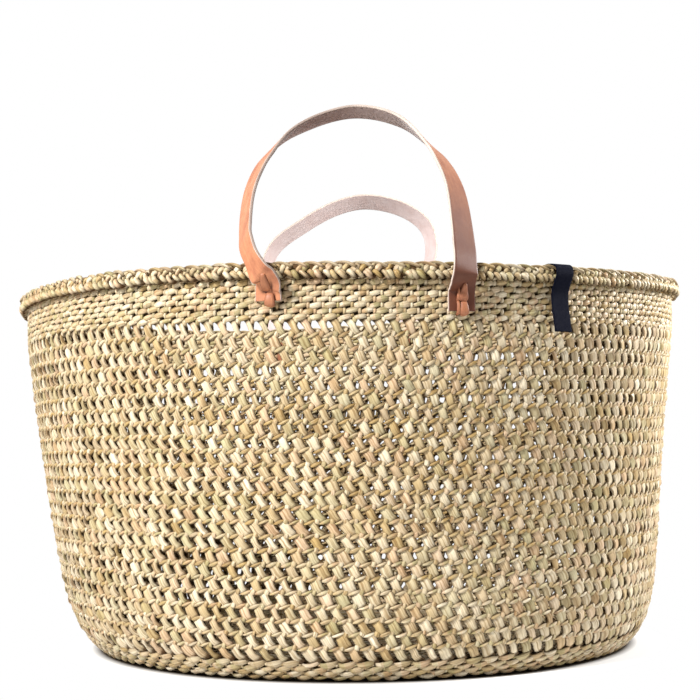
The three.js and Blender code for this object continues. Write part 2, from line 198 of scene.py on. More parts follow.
class BasketShape(bpy.types.PropertyGroup):
    """Outer shape of the basket, and how far it stands out of true"""
    height: size("Height", "Floor to the top of the rim plait", 0.280)
    band_radius: size("Band radius", "Outer face of the close-twined band", 0.263)
    band_height: size("Band height", "Height of the close-twined band", 0.027)
    foot_radius: size("Foot radius", "Where the straight side would meet the floor", 0.237)
    foot_inset: size("Foot inset", "How far the side turns in at the floor", 0.017)
    foot_inset_height: size("Foot inset height", "How quickly that turn fades going up", 0.015)
    edge_height: size("Edge height", "Top of the tight rows at the floor", 0.014)
    rim_height: size("Rim height", "Height of the plait", 0.010)
    rim_width: size("Rim width", "Depth of the plait", 0.011)
    rim_overhang: size("Rim overhang", "How far the plait stands out past the band", 0.0075)
    rim_lift: size("Rim lift", "How much higher the right of the rim is than the left", 0.011)
    rim_saddle: size("Rim saddle", "How much higher the rim is at both sides than at the front", 0.003)
    rim_warp: size("Rim warp", "How much higher the rim is front left and back right", 0.0044)
    side_sway: size("Side sway", "How far the side sways to the left half-way up", 0.0028)
    base_shift: size("Base shift", "How far the base lies to the right of the rim's centre", 0.008)
    base_push: size("Base push", "How far the base lies in front of the rim's centre", 0.008)
    base_pinch: size("Base pinch", "How far both sides of the base are drawn in at the floor", 0.008)
    seat_gap: size("Seat gap", "Gap between pieces that touch", 0.0003)

    @property
    def band_top(self):
        """Top of the close-twined band"""
        return self.height - self.rim_height - self.seat_gap

    @property
    def band_bottom(self):
        """Lower edge of the close-twined band"""
        return self.band_top - self.band_height

    @property
    def rim_radius(self):
        """Outermost reach of the plait"""
        return self.band_radius + self.rim_overhang


class WeaveSizes(bpy.types.PropertyGroup):
    """Counts and strand sizes of the weave"""
    row_count: whole("Open rows", "Open-twined rows on the side", 23)
    top_count: whole("Stitches at the top", "Stitches in a row under the rim", 168)
    foot_count: whole("Stitches at the floor", "Stitches in a row at the floor", 140)
    rows_together: whole("Rows together", "Rows of the side in one piece", 3)
    lean_share: share("Stake lean", "Share of a stitch that an outer stake moves right in one row", 0.68)
    depth: size("Weave depth", "Thickness of the side over its strands", 0.006)
    stake_width: size("Stake width", "Widest part of an outer stake under the band", 0.0061)
    low_stake_width: size("Low stake width", "Widest part of an outer stake near the floor", 0.0073)
    stake_depth: size("Stake depth", "Thickness of an outer stake", 0.0024)
    left_fullness: share("Fuller left", "How much wider the outer stakes are on the left", 0.26)
    stake_bulge: size("Stake bulge", "How far an outer stake swells out between two rows", 0.0011)
    knob_width: size("Inner stake width", "Width of an inner stake where it shows between stitches", 0.0036)
    knob_depth: size("Inner stake depth", "Thickness of an inner stake there", 0.0022)
    stitch_height: size("Stitch height", "Height of a twined stitch", 0.0024)
    stitch_depth: size("Stitch depth", "Thickness of a twined stitch", 0.0019)
    stitch_rise: size("Stitch rise", "How far a stitch climbs to either side of its middle", 0.0018)
    band_rows: whole("Band rows", "Row pitches in the height of the close-twined band", 7)
    edge_rows: whole("Edge rows", "Tight rows where the base turns up", 4)
    base_pitch: size("Base row pitch", "Distance between rows of the base", 0.006)
    base_stitch: size("Base stitch", "Length of a stitch in the base", 0.01296)
    plait_pitch: size("Plait pitch", "Distance between chevrons of the rim plait", 0.0052)


class StrapSizes(bpy.types.PropertyGroup):
    """Leather straps and the thongs that lace them on"""
    width: size("Strap width", "Width of the leather strap", 0.019)
    thickness: size("Strap thickness", "Thickness of the leather", 0.0025)
    foot_angle: angle("Foot angle", "Middle of each foot, either side of the handle's middle", 14.5)
    left_drop: size("Left foot drop", "From the rim's top down to the left foot's lower edge", 0.025)
    right_drop: size("Right foot drop", "From the rim's top down to the right foot's lower edge", 0.0318)
    flex_above_rim: size("Flex height", "Height of the line where the strap flexes, over the rim", 0.002)
    thong_width: size("Thong width", "Width of the lacing thong", 0.006)
    thong_thickness: size("Thong thickness", "Thickness of the lacing thong", 0.002)


class TagSizes(bpy.types.PropertyGroup):
    """Woven tape folded over the rim"""
    place: angle("Place", "Angle round the rim from the front, towards the right", 31)
    width: size("Tape width", "Width of the tape", 0.015)
    thickness: size("Tape thickness", "Thickness of the tape", 0.0009)
    outer_drop: size("Outer drop", "From the rim's top down to the outer end", 0.0445)
    inner_drop: size("Inner drop", "From the rim's top down to the inner end", 0.032)


class BasketColours(bpy.types.PropertyGroup):
    """Colours of grass, leather and tape"""
    pale_straw: colour("Pale straw", "Lightest dry grass", (0.85, 0.765, 0.585))
    deep_straw: colour("Deep straw", "Darker golden grass", (0.50, 0.35, 0.14))
    green_straw: colour("Green straw", "Grass that kept some green", (0.43, 0.40, 0.19))
    rosy_straw: colour("Rosy straw", "Grass with a pinkish tan", (0.68, 0.44, 0.27))
    twine_level: share("Twine level", "How much darker the twine is than the stakes", 0.95)
    grain: colour("Leather grain", "Tanned outer face of the leather", (0.56, 0.235, 0.115))
    grain_dark: colour("Leather grain, dark", "Darker mottling of the leather", (0.36, 0.135, 0.07))
    flesh: colour("Leather flesh side", "Rough inner face of the leather", (0.72, 0.595, 0.575))
    cut_edge: colour("Leather cut edge", "Raw edge of the leather", (0.70, 0.58, 0.50))
    tape: colour("Tape", "Dark woven tape", (0.003, 0.0035, 0.009))


class StageSettings(bpy.types.PropertyGroup):
    """Camera, light and floor"""
    focal_length: FloatProperty(name="Focal length", description="Focal length in millimetres", default=73.8)
    key_power: watts("Key light", "Power of the main soft light", 114)
    side_power: watts("Side light", "Power of the light from the right", 13)
    sky: share("Surrounding light", "Strength of the even light from all round", 0.055)
    floor: colour("Floor", "Pale floor", (0.86, 0.86, 0.86))


GROUPS = {
    "basket_shape": BasketShape,
    "basket_weave": WeaveSizes,
    "basket_strap": StrapSizes,
    "basket_tag": TagSizes,
    "basket_colours": BasketColours,
    "basket_stage": StageSettings,
}


def eased(value):
    """Smooth step from 0 to 1"""
    clamped = np.clip(value, 0, 1)
    return clamped * clamped * (3 - 2 * clamped)


def from_least(least, value):
    """Factor that goes smoothly from a least one to 1 as the value goes from 0 to 1"""
    return least + (1 - least) * eased(value)


def unit(vectors):
    """Vectors of length one"""
    return vectors / np.linalg.norm(vectors, axis=-1, keepdims=True)


def ring_point(turn, radius, height):
    """Point round the basket's axis, turn in radians from the front towards the right"""
    turn, radius, height = np.broadcast_arrays(turn, radius, height)
    return np.stack([radius * np.sin(turn), -radius * np.cos(turn), height], axis=-1)


def settle(shape, points):
    """The hand-made lean: a rim that is not level all round, and a base a little off its centre"""
    rise = np.minimum(points[..., 2] / shape.height, 1)
    across = points[..., 0] / shape.rim_radius
    front = -points[..., 1] / shape.rim_radius
    settled = points.copy()
    settled[..., 0] += shape.base_shift * (1 - rise) - shape.side_sway * np.sin(math.pi * rise)
    settled[..., 0] -= shape.base_pinch * across * (1 - rise) ** 8
    settled[..., 1] -= shape.base_push * (1 - rise) ** 2
    uneven = shape.rim_lift / 2 * across + shape.rim_saddle * across ** 2
    uneven -= 2 * shape.rim_warp * across * front
    settled[..., 2] += uneven * rise
    return settled


def side_radius(shape, height):
    """Radius of the outermost strands at a height on the side or the band"""
    climb = np.minimum(height, shape.band_bottom) / shape.band_bottom
    straight = shape.foot_radius + (shape.band_radius - shape.foot_radius) * climb
    return straight - shape.foot_inset * np.exp(-height / shape.foot_inset_height)


def side_point(shape, depth, turn, height, out):
    """Point on the side, out from the middle of a weave of that depth, and the direction outwards"""
    step = 0.1 * MM
    slope = (side_radius(shape, height + step) - side_radius(shape, height - step)) / (2 * step)
    steep = np.sqrt(1 + slope ** 2)
    inset = out - depth / 2
    point = ring_point(turn, side_radius(shape, height) + inset / steep, height - inset * slope / steep)
    outward = ring_point(turn, 1 / steep, -slope / steep)
    return settle(shape, point), outward


def oval(points, squareness):
    """Closed section with rounded corners, one wide and one tall each way"""
    around = np.arange(points) * FULL_TURN / points
    across, deep = np.cos(around), np.sin(around)
    power = 2 / squareness
    corners = [np.sign(value) * np.abs(value) ** power for value in (across, deep)]
    return np.stack(corners, axis=-1)


def ridged(points):
    """Flat section whose outer face has fine ridges, as a flattened grass blade has"""
    across = np.linspace(1, -1, points)
    outer = np.sqrt(1 - across ** 4) * np.where(np.arange(points) % 2, 1.0, 0.74)
    back = np.array([(-0.6, -0.9), (0.0, -1.0), (0.6, -0.9)])
    return np.concatenate([np.stack([across, outer], axis=-1), back])


class StrandMesh:
    """Collects strands swept along paths and turns them into one mesh.

    Every point keeps its place in its strand (along, across, deep), its tint (on leather, painted shade and a
    darker tone) and its painted shade, which the materials read, and every strand has its own cells of the
    bake map."""

    CELL_LENGTH = 0.12      # length of strand in one cell
    CELL_MARGIN = 0.04      # free edge of a cell, as a share of it

    def __init__(self, seed):
        self.random = np.random.default_rng(seed)
        self.points = []
        self.local = []
        self.tints = []
        self.shades = []
        self.corners = []
        self.sizes = []
        self.cells = []
        self.places = []
        self.slots = []
        self.point_count = 0
        self.cell_count = 0

    def add(self, centre, outward, half_width, half_depth, tint, section, closed=False, slots=None,
            shade=1.0, edge_shade=1.0, inside=1.0):
        """Strands along centre (strands, steps, 3); the other values are for each step, or fewer to repeat.

        Shade is painted shade on the faces turned out, inside painted shade on the faces turned into the
        basket, and edge_shade painted shade along both edges."""
        strands, steps = centre.shape[:2]
        sides = len(section)
        half_width, half_depth, shade, inside = (np.broadcast_to(v, (strands, steps))
                                                 for v in (half_width, half_depth, shade, inside))
        if np.ndim(tint) < 3:
            tint = np.broadcast_to(tint, (strands, steps))[..., None]
        if closed:
            along = np.roll(centre, -1, axis=1) - np.roll(centre, 1, axis=1)
        else:
            along = np.gradient(centre, axis=1)
        along = unit(along)
        facing = unit(outward - along * np.sum(outward * along, axis=-1, keepdims=True))
        across = np.cross(along, facing)
        wide = half_width[..., None] * section[:, 0]
        deep = half_depth[..., None] * section[:, 1]
        ring = across[:, :, None] * wide[..., None] + facing[:, :, None] * deep[..., None]
        ring += centre[:, :, None]
        lengths = np.linalg.norm(np.diff(centre, axis=1), axis=-1)
        run = np.concatenate([np.zeros((strands, 1)), np.cumsum(lengths, axis=1)], axis=1)
        start = self.random.uniform(0, 50, (strands, 1))
        local = np.stack(np.broadcast_arrays((run + start)[..., None], wide, deep), axis=-1)
        self.points.append(ring.reshape(-1, 3))
        self.local.append(local.reshape(-1, 3))
        self.tints.append(np.broadcast_to(tint, (strands, steps, sides)).reshape(-1))
        # Painted shade along both edges, and from shade on faces turned out and inside on faces turned in
        edges = 1 - (1 - edge_shade) * np.abs(section[:, 0]) ** 4
        faces = np.where(section[:, 1] < -0.2, inside[..., None], shade[..., None])
        self.shades.append((faces * edges).reshape(-1))
        chunks = self.add_sides(strands, steps, sides, closed, run[:, -1].mean(), slots)
        if not closed:
            self.add_ends(strands, steps, sides, slots, chunks)
        self.point_count += strands * steps * sides

    def add_sides(self, strands, steps, sides, closed, length, slots):
        """Four-sided faces along the strands, and where each lies in the bake map.

        Gives the number of bake cells for each strand."""
        spans = steps if closed else steps - 1
        counts = (strands, spans, sides)
        strand, step, side = np.meshgrid(*(np.arange(number) for number in counts), indexing="ij")
        next_step, next_side = (step + 1) % steps, (side + 1) % sides
        around = ((step, side), (next_step, side), (next_step, next_side), (step, next_side))
        corner = [(strand * steps + a) * sides + b for a, b in around]
        self.corners.append(self.point_count + np.stack(corner, axis=-1).reshape(-1))
        self.sizes.append(np.full(strand.size, 4))
        chunks = max(1, round(length / self.CELL_LENGTH))
        chunk_steps = math.ceil(spans / chunks)
        chunk = step // chunk_steps
        cell = self.cell_count + strand * chunks + chunk
        inner = step - chunk * chunk_steps
        u = [inner / chunk_steps, (inner + 1) / chunk_steps]
        v = [side / sides, (side + 1) / sides]
        place = [(u[0], v[0]), (u[1], v[0]), (u[1], v[1]), (u[0], v[1])]
        self.places.append(np.stack([np.stack(p, axis=-1) for p in place], axis=3).reshape(-1, 2))
        self.cells.append(np.repeat(cell.reshape(-1), 4))
        kinds = np.zeros(sides, int) if slots is None else np.asarray(slots)
        self.slots.append(np.broadcast_to(kinds, strand.shape).reshape(-1))
        self.cell_count += strands * chunks
        return chunks

    def add_ends(self, strands, steps, sides, slots, chunks):
        """A flat face on both ends of every open strand"""
        first = self.point_count + np.arange(strands)[:, None] * steps * sides
        start = first + np.arange(sides)
        end = first + (steps - 1) * sides + np.arange(sides)[::-1]
        self.corners.append(np.concatenate([start, end], axis=1).reshape(-1))
        self.sizes.append(np.full(2 * strands, sides))
        around = np.arange(sides) * FULL_TURN / sides
        disc = 0.5 + 0.02 * np.stack([np.cos(around), np.sin(around)], axis=-1)
        self.places.append(np.tile(disc, (2 * strands, 1)))
        own = self.cell_count - strands * chunks + np.arange(strands) * chunks
        self.cells.append(np.repeat(own, 2 * sides))
        self.slots.append(np.full(2 * strands, 0 if slots is None else max(slots)))

    def bake_map(self):
        """Places in a square grid with one cell for each stretch of strand"""
        cells = np.concatenate(self.cells)
        places = np.concatenate(self.places)
        rows = max(1, math.ceil(math.sqrt(self.cell_count * 4)))
        columns = math.ceil(self.cell_count / rows)
        inside = self.CELL_MARGIN + (1 - 2 * self.CELL_MARGIN) * places
        u = (cells % columns + inside[:, 0]) / columns
        v = (cells // columns + inside[:, 1]) / rows
        return np.stack([u, v], axis=-1)

    def build(self, name, materials):
        """The finished object"""
        mesh = bpy.data.meshes.new(name)
        points = np.concatenate(self.points)
        corners = np.concatenate(self.corners)
        sizes = np.concatenate(self.sizes)
        mesh.vertices.add(len(points))
        mesh.vertices.foreach_set("co", points.astype(np.float32).reshape(-1))
        mesh.loops.add(len(corners))
        mesh.loops.foreach_set("vertex_index", corners.astype(np.int32))
        mesh.polygons.add(len(sizes))
        mesh.polygons.foreach_set("loop_start", (np.cumsum(sizes) - sizes).astype(np.int32))
        mesh.polygons.foreach_set("material_index", np.concatenate(self.slots).astype(np.int32))
        mesh.update(calc_edges=True)
        bake_map = mesh.uv_layers.new(name="OFBake")
        bake_map.data.foreach_set("uv", self.bake_map().astype(np.float32).reshape(-1))
        for name, values in (("strand_tint", self.tints), ("strand_shade", self.shades)):
            attribute = mesh.attributes.new(name, "FLOAT", "POINT")
            attribute.data.foreach_set("value", np.concatenate(values).astype(np.float32))
        local = mesh.attributes.new("strand_local", "FLOAT_VECTOR", "POINT")
        local.data.foreach_set("vector", np.concatenate(self.local).astype(np.float32).reshape(-1))
        mesh.shade_smooth()
        for material in materials:
            mesh.materials.append(material)
        if mesh.validate():
            raise RuntimeError(f"{mesh.name} has faces that are not valid")
        piece = bpy.data.objects.new(mesh.name, mesh)
        bpy.context.scene.collection.objects.link(piece)
        return piece


def finish_piece(piece, nodes):
    """Rides on the basket and stands for the solids that it hides"""
    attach(piece, "basket")
    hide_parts(*nodes)


# Shader building


def new_group(name, inputs, outputs):
    """Empty shader group with named sockets"""
    group = bpy.data.node_groups.new(name, "ShaderNodeTree")
    for socket_name, kind, default in inputs:
        socket = group.interface.new_socket(name=socket_name, in_out="INPUT", socket_type=kind)
        socket.default_value = default
    for socket_name, kind in outputs:
        group.interface.new_socket(name=socket_name, in_out="OUTPUT", socket_type=kind)
    return group, group.nodes.new("NodeGroupInput"), group.nodes.new("NodeGroupOutput")


def put(tree, kind, links=(), **settings):
    """New node; links are (input name or number, output socket or plain value)"""
    node = tree.nodes.new(kind)
    for key, value in settings.items():
        setattr(node, key, value)
    for socket, source in links:
        if isinstance(source, bpy.types.NodeSocket):
            tree.links.new(source, node.inputs[socket])
        else:
            node.inputs[socket].default_value = source
    return node


def calc(tree, operation, first, second=0.0):
    """Math node's result"""
    return put(tree, "ShaderNodeMath", [(0, first), (1, second)], operation=operation).outputs[0]


def blend_colours(tree, factor, first, second, mode="MIX"):
    """Mix node's colour"""
    links = [(0, factor), (6, first), (7, second)]
    return put(tree, "ShaderNodeMix", links, data_type="RGBA", blend_type=mode).outputs[2]


def ramp(tree, value, low, high, to_low=0.0, to_high=1.0):
    """Value moved from one range to another, kept inside it"""
    node = put(tree, "ShaderNodeMapRange", [(0, value), (1, low), (2, high), (3, to_low), (4, to_high)])
    return node.outputs[0]


def stretched_noise(tree, vector, scales, detail=2.0, roughness=0.5):
    """Noise that is long one way, as fibres are"""
    moved = put(tree, "ShaderNodeVectorMath", [(0, vector), (1, scales)], operation="MULTIPLY").outputs[0]
    noise = put(tree, "ShaderNodeTexNoise", [("Vector", moved), ("Scale", 1.0), ("Detail", detail),
                                             ("Roughness", roughness)])
    return noise.outputs[0]


def strand_value(tree, name, output="Fac"):
    """Value that every point of a strand keeps"""
    return put(tree, "ShaderNodeAttribute", attribute_name=name).outputs[output]


def scattered(tree, value, factor):
    """Value from 0 to 1 that changes quickly with the one it is made from"""
    return calc(tree, "FRACT", calc(tree, "MULTIPLY", value, factor))


def straw_group():
    """Colour, roughness and fibre height of dry grass, with painted shade and dull where a strand tucks under
    """
    inputs = [(name, "NodeSocketColor", WHITE) for name in ("Pale", "Deep", "Green", "Rosy")]
    inputs.append(("Streaks", "NodeSocketFloat", 0.5))
    tree, given, result = new_group("straw_fibres", inputs, FINISH_OUTPUTS)
    tint = strand_value(tree, "strand_tint")
    shade = strand_value(tree, "strand_shade")
    local = strand_value(tree, "strand_local", "Vector")
    fibres = stretched_noise(tree, local, (55, 2600, 2600), 3.0, 0.6)
    streaks = stretched_noise(tree, local, (28, 750, 750))
    patches = stretched_noise(tree, local, (36, 60, 60))
    greenness = ramp(tree, scattered(tree, tint, 7.31), 0.62, 1.0, 0.0, 0.75)
    rosiness = ramp(tree, scattered(tree, tint, 13.7), 0.66, 1.0, 0.0, 0.7)
    base = blend_colours(tree, tint, given.outputs["Pale"], given.outputs["Deep"])
    base = blend_colours(tree, greenness, base, given.outputs["Green"])
    base = blend_colours(tree, rosiness, base, given.outputs["Rosy"])
    aged = ramp(tree, patches, 0.42, 0.72, 0.0, 0.5)
    base = blend_colours(tree, aged, base, given.outputs["Deep"])
    dark = calc(tree, "MULTIPLY", ramp(tree, streaks, 0.44, 0.66), given.outputs["Streaks"])
    base = blend_colours(tree, dark, base, STREAK_STAIN, "MULTIPLY")
    fine = calc(tree, "MULTIPLY", ramp(tree, fibres, 0.35, 0.7), 0.36)
    base = blend_colours(tree, fine, base, FIBRE_STAIN, "MULTIPLY")
    # Painted shade: darker towards the recess colour where strand_shade is low
    tucked = calc(tree, "SUBTRACT", 1.0, shade)
    base = blend_colours(tree, tucked, base, RECESS_PAINTED_SHADE, "MULTIPLY")
    tree.links.new(base, result.inputs["Colour"])
    dull = ramp(tree, shade, 0.35, 1.0, 1.0, 0.0)
    rough = calc(tree, "MAXIMUM", ramp(tree, fibres, 0.25, 0.8, 0.34, 0.6), dull)
    tree.links.new(rough, result.inputs["Roughness"])
    height = calc(tree, "ADD", calc(tree, "MULTIPLY", streaks, 0.7), calc(tree, "MULTIPLY", fibres, 0.3))
    tree.links.new(height, result.inputs["Height"])
    return tree


def leather_group():
    """Mottling, pores and creases of leather, blended towards a dark colour where strand_tint asks: painted
    shade, and a darker tone
    """
    inputs = [(name, "NodeSocketColor", WHITE) for name in ("Light", "Dark", "Worn")]
    inputs.append(("Pore Scale", "NodeSocketFloat", 900.0))
    tree, given, result = new_group("leather_face", inputs, FINISH_OUTPUTS)
    local = strand_value(tree, "strand_local", "Vector")
    shade_and_tone = strand_value(tree, "strand_tint")
    mottle = stretched_noise(tree, local, (70, 110, 110), 4.0, 0.6)
    lines = stretched_noise(tree, local, (30, 900, 900))
    pores = put(tree, "ShaderNodeTexVoronoi", [("Vector", local), ("Scale", given.outputs["Pore Scale"])])
    pits = ramp(tree, pores.outputs["Distance"], 0.0, 0.55)
    base = blend_colours(tree, ramp(tree, mottle, 0.38, 0.68), given.outputs["Light"], given.outputs["Dark"])
    creases = calc(tree, "MULTIPLY", ramp(tree, lines, 0.4, 0.7), 0.55)
    base = blend_colours(tree, creases, base, given.outputs["Dark"])
    pit_shade = calc(tree, "MULTIPLY", calc(tree, "SUBTRACT", 1.0, pits), 0.22)
    base = blend_colours(tree, pit_shade, base, PIT_STAIN, "MULTIPLY")
    base = blend_colours(tree, shade_and_tone, base, given.outputs["Worn"])
    tree.links.new(base, result.inputs["Colour"])
    tree.links.new(ramp(tree, mottle, 0.3, 0.7, 0.38, 0.56), result.inputs["Roughness"])
    height = calc(tree, "ADD", calc(tree, "MULTIPLY", pits, 0.5), calc(tree, "MULTIPLY", mottle, 0.6))
    tree.links.new(height, result.inputs["Height"])
    return tree


def rgba(value):
    """Colour with full opacity"""
    return (*value, 1.0)


def new_material(name):
    """Material, its node tree and its shader"""
    material = bpy.data.materials.new(name)
    material.use_nodes = True
    tree = material.node_tree
    return material, tree, tree.nodes["Principled BSDF"]


def shaded(name, group, inputs, bump, distance, **shine):
    """Material whose colour, roughness and bump come from a group"""
    if name in bpy.data.materials:
        return bpy.data.materials[name]
    material, tree, shader = new_material(name)
    effect = put(tree, "ShaderNodeGroup", inputs.items(), node_tree=group)
    tree.links.new(effect.outputs["Colour"], shader.inputs["Base Color"])
    tree.links.new(effect.outputs["Roughness"], shader.inputs["Roughness"])
    relief = put(tree, "ShaderNodeBump", [("Strength", bump), ("Distance", distance),
                                          ("Height", effect.outputs["Height"])])
    tree.links.new(relief.outputs["Normal"], shader.inputs["Normal"])
    for socket, value in shine.items():
        shader.inputs[socket.replace("_", " ")].default_value = value
    return material


def group_named(name, maker):
    """Shared group, made the first time it is asked for"""
    return bpy.data.node_groups.get(name) or maker()


def straw_material(part):
    """Dry grass of the stakes or the twine; the twine is a little darker"""
    colours = bpy.context.scene.basket_colours
    level, paler, streaks = colours.twine_level, 0.0, TWINE_STREAKS
    if part == "stakes":
        level, paler, streaks = 1.0, STAKE_PALENESS, STAKE_STREAKS
    straws = (("Green", colours.green_straw, paler), ("Rosy", colours.rosy_straw, paler),
              ("Pale", colours.pale_straw, 0.0), ("Deep", colours.deep_straw, 0.0))
    inputs = {"Streaks": streaks}
    for label, straw, share_pale in straws:
        mixed = zip(straw, colours.pale_straw)
        inputs[label] = rgba([level * (own * (1 - share_pale) + pale * share_pale) for own, pale in mixed])
    straw_fibres = group_named("straw_fibres", straw_group)
    return shaded(f"straw_{part}", straw_fibres, inputs, 0.35, 0.3 * MM, Specular_IOR_Level=0.22)


def leather_materials():
    """Grain, flesh side and cut edge of the straps"""
    colours = bpy.context.scene.basket_colours
    face = group_named("leather_face", leather_group)

    def leather(part, light, dark, shade_tone_colour, pores, bump, distance, **shine):
        """One face of the leather"""
        inputs = {"Light": rgba(light), "Dark": rgba(dark), "Worn": shade_tone_colour, "Pore Scale": pores}
        return shaded(f"leather_{part}", face, inputs, bump, distance, **shine)

    flesh_dark = [level * mottle for level, mottle in zip(colours.flesh, FLESH_MOTTLE)]
    edge_dark = [0.75 * level for level in colours.cut_edge]
    return [
        leather("grain", colours.grain, colours.grain_dark, GRAIN_SHADE_AND_TONE, 1100.0, 0.25, 0.3 * MM,
                Specular_IOR_Level=0.26),
        leather("flesh", colours.flesh, flesh_dark, FLESH_PAINTED_SHADE, 2200.0, 0.4, 0.5 * MM,
                Specular_IOR_Level=0.15, Sheen_Weight=0.25),
        leather("cut_edge", colours.cut_edge, edge_dark, GRAIN_SHADE_AND_TONE, 1800.0, 0.5, 0.4 * MM,
                Specular_IOR_Level=0.2),
    ]


def tape_material():
    """Dark ribbed tape"""
    tape = bpy.context.scene.basket_colours.tape
    material, tree, shader = new_material("woven_tape")
    local = strand_value(tree, "strand_local", "Vector")
    parts = put(tree, "ShaderNodeSeparateXYZ", [(0, local)])
    warp_pitch, weft_pitch = 0.55 * MM, 0.45 * MM
    warp = calc(tree, "SINE", calc(tree, "MULTIPLY", parts.outputs["Y"], FULL_TURN / warp_pitch))
    weft = calc(tree, "SINE", calc(tree, "MULTIPLY", parts.outputs["X"], FULL_TURN / weft_pitch))
    threads = calc(tree, "MULTIPLY", warp, weft)
    lint = stretched_noise(tree, local, (900, 900, 900), 3.0, 0.6)
    lighter = [min(1.0, 2.6 * level) for level in tape]
    weave = ramp(tree, threads, -1.0, 1.0, 0.0, 0.6)
    base = blend_colours(tree, calc(tree, "MULTIPLY", weave, lint), rgba(tape), rgba(lighter))
    tree.links.new(base, shader.inputs["Base Color"])
    tree.links.new(ramp(tree, lint, 0.3, 0.7, 0.72, 0.92), shader.inputs["Roughness"])
    relief = put(tree, "ShaderNodeBump", [("Strength", 0.4), ("Distance", 0.2 * MM), ("Height", threads)])
    tree.links.new(relief.outputs["Normal"], shader.inputs["Normal"])
    shader.inputs["Specular IOR Level"].default_value = 0.05
    return material


# Weave


def runs_of_tint(random, strands, stitches, run):
    """Tint for each stitch: every grass length keeps its tint for a run of stitches, with a little change"""
    tints = np.empty((strands, stitches))
    for strand in range(strands):
        lengths = random.integers(run // 2, run * 2, stitches)
        ends = np.cumsum(lengths)
        base = random.beta(1.3, 1.9, stitches)
        tints[strand] = base[np.searchsorted(ends, np.arange(stitches), side="right")]
    return np.clip(tints + random.normal(0, 0.06, tints.shape), 0, 1)


def between_stitches(values, steps):
    """Values given once for each stitch, filled in smoothly between them round a closed row"""
    blend = eased(np.arange(steps) / steps)
    after = np.roll(values, -1, axis=1)
    filled = values[..., None] * (1 - blend) + after[..., None] * blend
    return filled.reshape(values.shape[0], -1)


def even_round(count, offset=0.0):
    """Angles of evenly spaced stitches round a closed row"""
    return (np.arange(count) + offset) * FULL_TURN / count


def at_level(place, level):
    """The same placing, with its second value counted from a level"""
    def place_row(turn, up, out):
        """Point so far up from the level"""
        return place(turn, level + up, out)

    return place_row


def twine_round(mesh, angles, place, section, steps, twist):
    """One closed row of two strands that twist round each other, with a stitch at every angle.

    place(turn, up, out) gives points and the direction outwards."""
    random = mesh.random
    count = len(angles)
    wander_share, drift_share, plump_spread = 0.1, 0.035, 0.13
    stitch = np.arange(count * steps) / steps
    strand = np.arange(2)[:, None]
    phase = math.pi * (stitch + strand)
    wander, drift = (between_stitches(random.normal(0, 1, (2, count)), steps) for _ in range(2))
    plump = between_stitches(random.normal(1, plump_spread, (2, count)), steps)
    front = np.cos(phase)
    flat = np.tanh(twist.plateau * front) / math.tanh(twist.plateau)
    up = twist.rise * np.sin(phase) + wander_share * twist.height * wander
    closed = np.append(angles, angles[0] + FULL_TURN)
    turn = np.interp(stitch, np.arange(count + 1), closed) + drift_share * FULL_TURN / count * drift
    centre, outward = place(turn, up, twist.swing * (flat - 0.2 * (1 - front ** 2)))
    half_height = twist.height / 2 * plump * (twist.ends + (1 - twist.ends) * front ** 2)
    half_depth = twist.depth / 2 * (0.85 + 0.15 * front ** 2)
    tint = np.clip(runs_of_tint(random, 2, count, 5) + twist.deeper, 0, 1)
    # Painted shade where a strand goes behind the other, on faces turned out, and where it comes in front, on
    # faces turned into the basket
    shade = from_least(0.05, 0.36 + 0.9 * front)
    inside = from_least(0.25, 0.45 - 0.9 * front)
    mesh.add(centre, outward, half_height, half_depth, np.repeat(tint, steps, axis=1), section,
             closed=True, shade=shade, inside=inside, edge_shade=0.36)


def knot_heights(shape, weave):
    """Heights where stakes are held: the band's lower edge, every open row, and the tight edge"""
    top = shape.band_bottom - shape.seat_gap
    bottom = shape.edge_height + shape.seat_gap
    return np.linspace(top, bottom, weave.row_count + 2)


def stake_angles(weave):
    """Angle of every outer stake at every knot, going down, and whether the stake is still there.

    The stakes lean to the right. Some end on the way down, two in a row, squeezed out by their neighbours."""
    random = np.random.default_rng(SEEDS["stake_ends"])
    knots = weave.row_count + 2
    fewer = weave.top_count - weave.foot_count
    never = 2 * knots
    first_end, last_end = 5, knots - 3
    least_room, squeeze_knots = 0.3, 8
    last_knot = np.full(weave.top_count, never)
    ends = np.repeat(np.linspace(first_end, last_end, fewer // 2).astype(int), 2)
    last_knot[np.arange(fewer) * weave.top_count // fewer] = random.permutation(ends)
    knots_left = last_knot - np.arange(knots)[:, None]
    room = np.where(knots_left >= 0, np.clip(least_room + knots_left / squeeze_knots, 0, 1), 0)
    total = room.sum(axis=1, keepdims=True)
    angles = FULL_TURN * (np.cumsum(room, axis=1) - room / 2) / total
    return angles + np.cumsum(weave.lean_share * FULL_TURN / total, axis=0), room > 0


def stitch_angles(weave):
    """Angles of the stitches in each row, one over every outer stake"""
    angles, there = stake_angles(weave)
    return [row[held] for row, held in zip(angles, there)]


def knob_angles(stitches):
    """Angles half way between stitches, where the inner stakes show"""
    return (stitches + np.append(stitches[1:], stitches[0] + FULL_TURN)) / 2


def nearest_angles(wanted, choices):
    """For each wanted angle the nearest of the choices, without jumps of a whole turn"""
    away = (choices[None, :] - wanted[:, None] + math.pi) % FULL_TURN - math.pi
    best = np.argmin(np.abs(away), axis=1)
    return wanted + away[np.arange(len(wanted)), best]


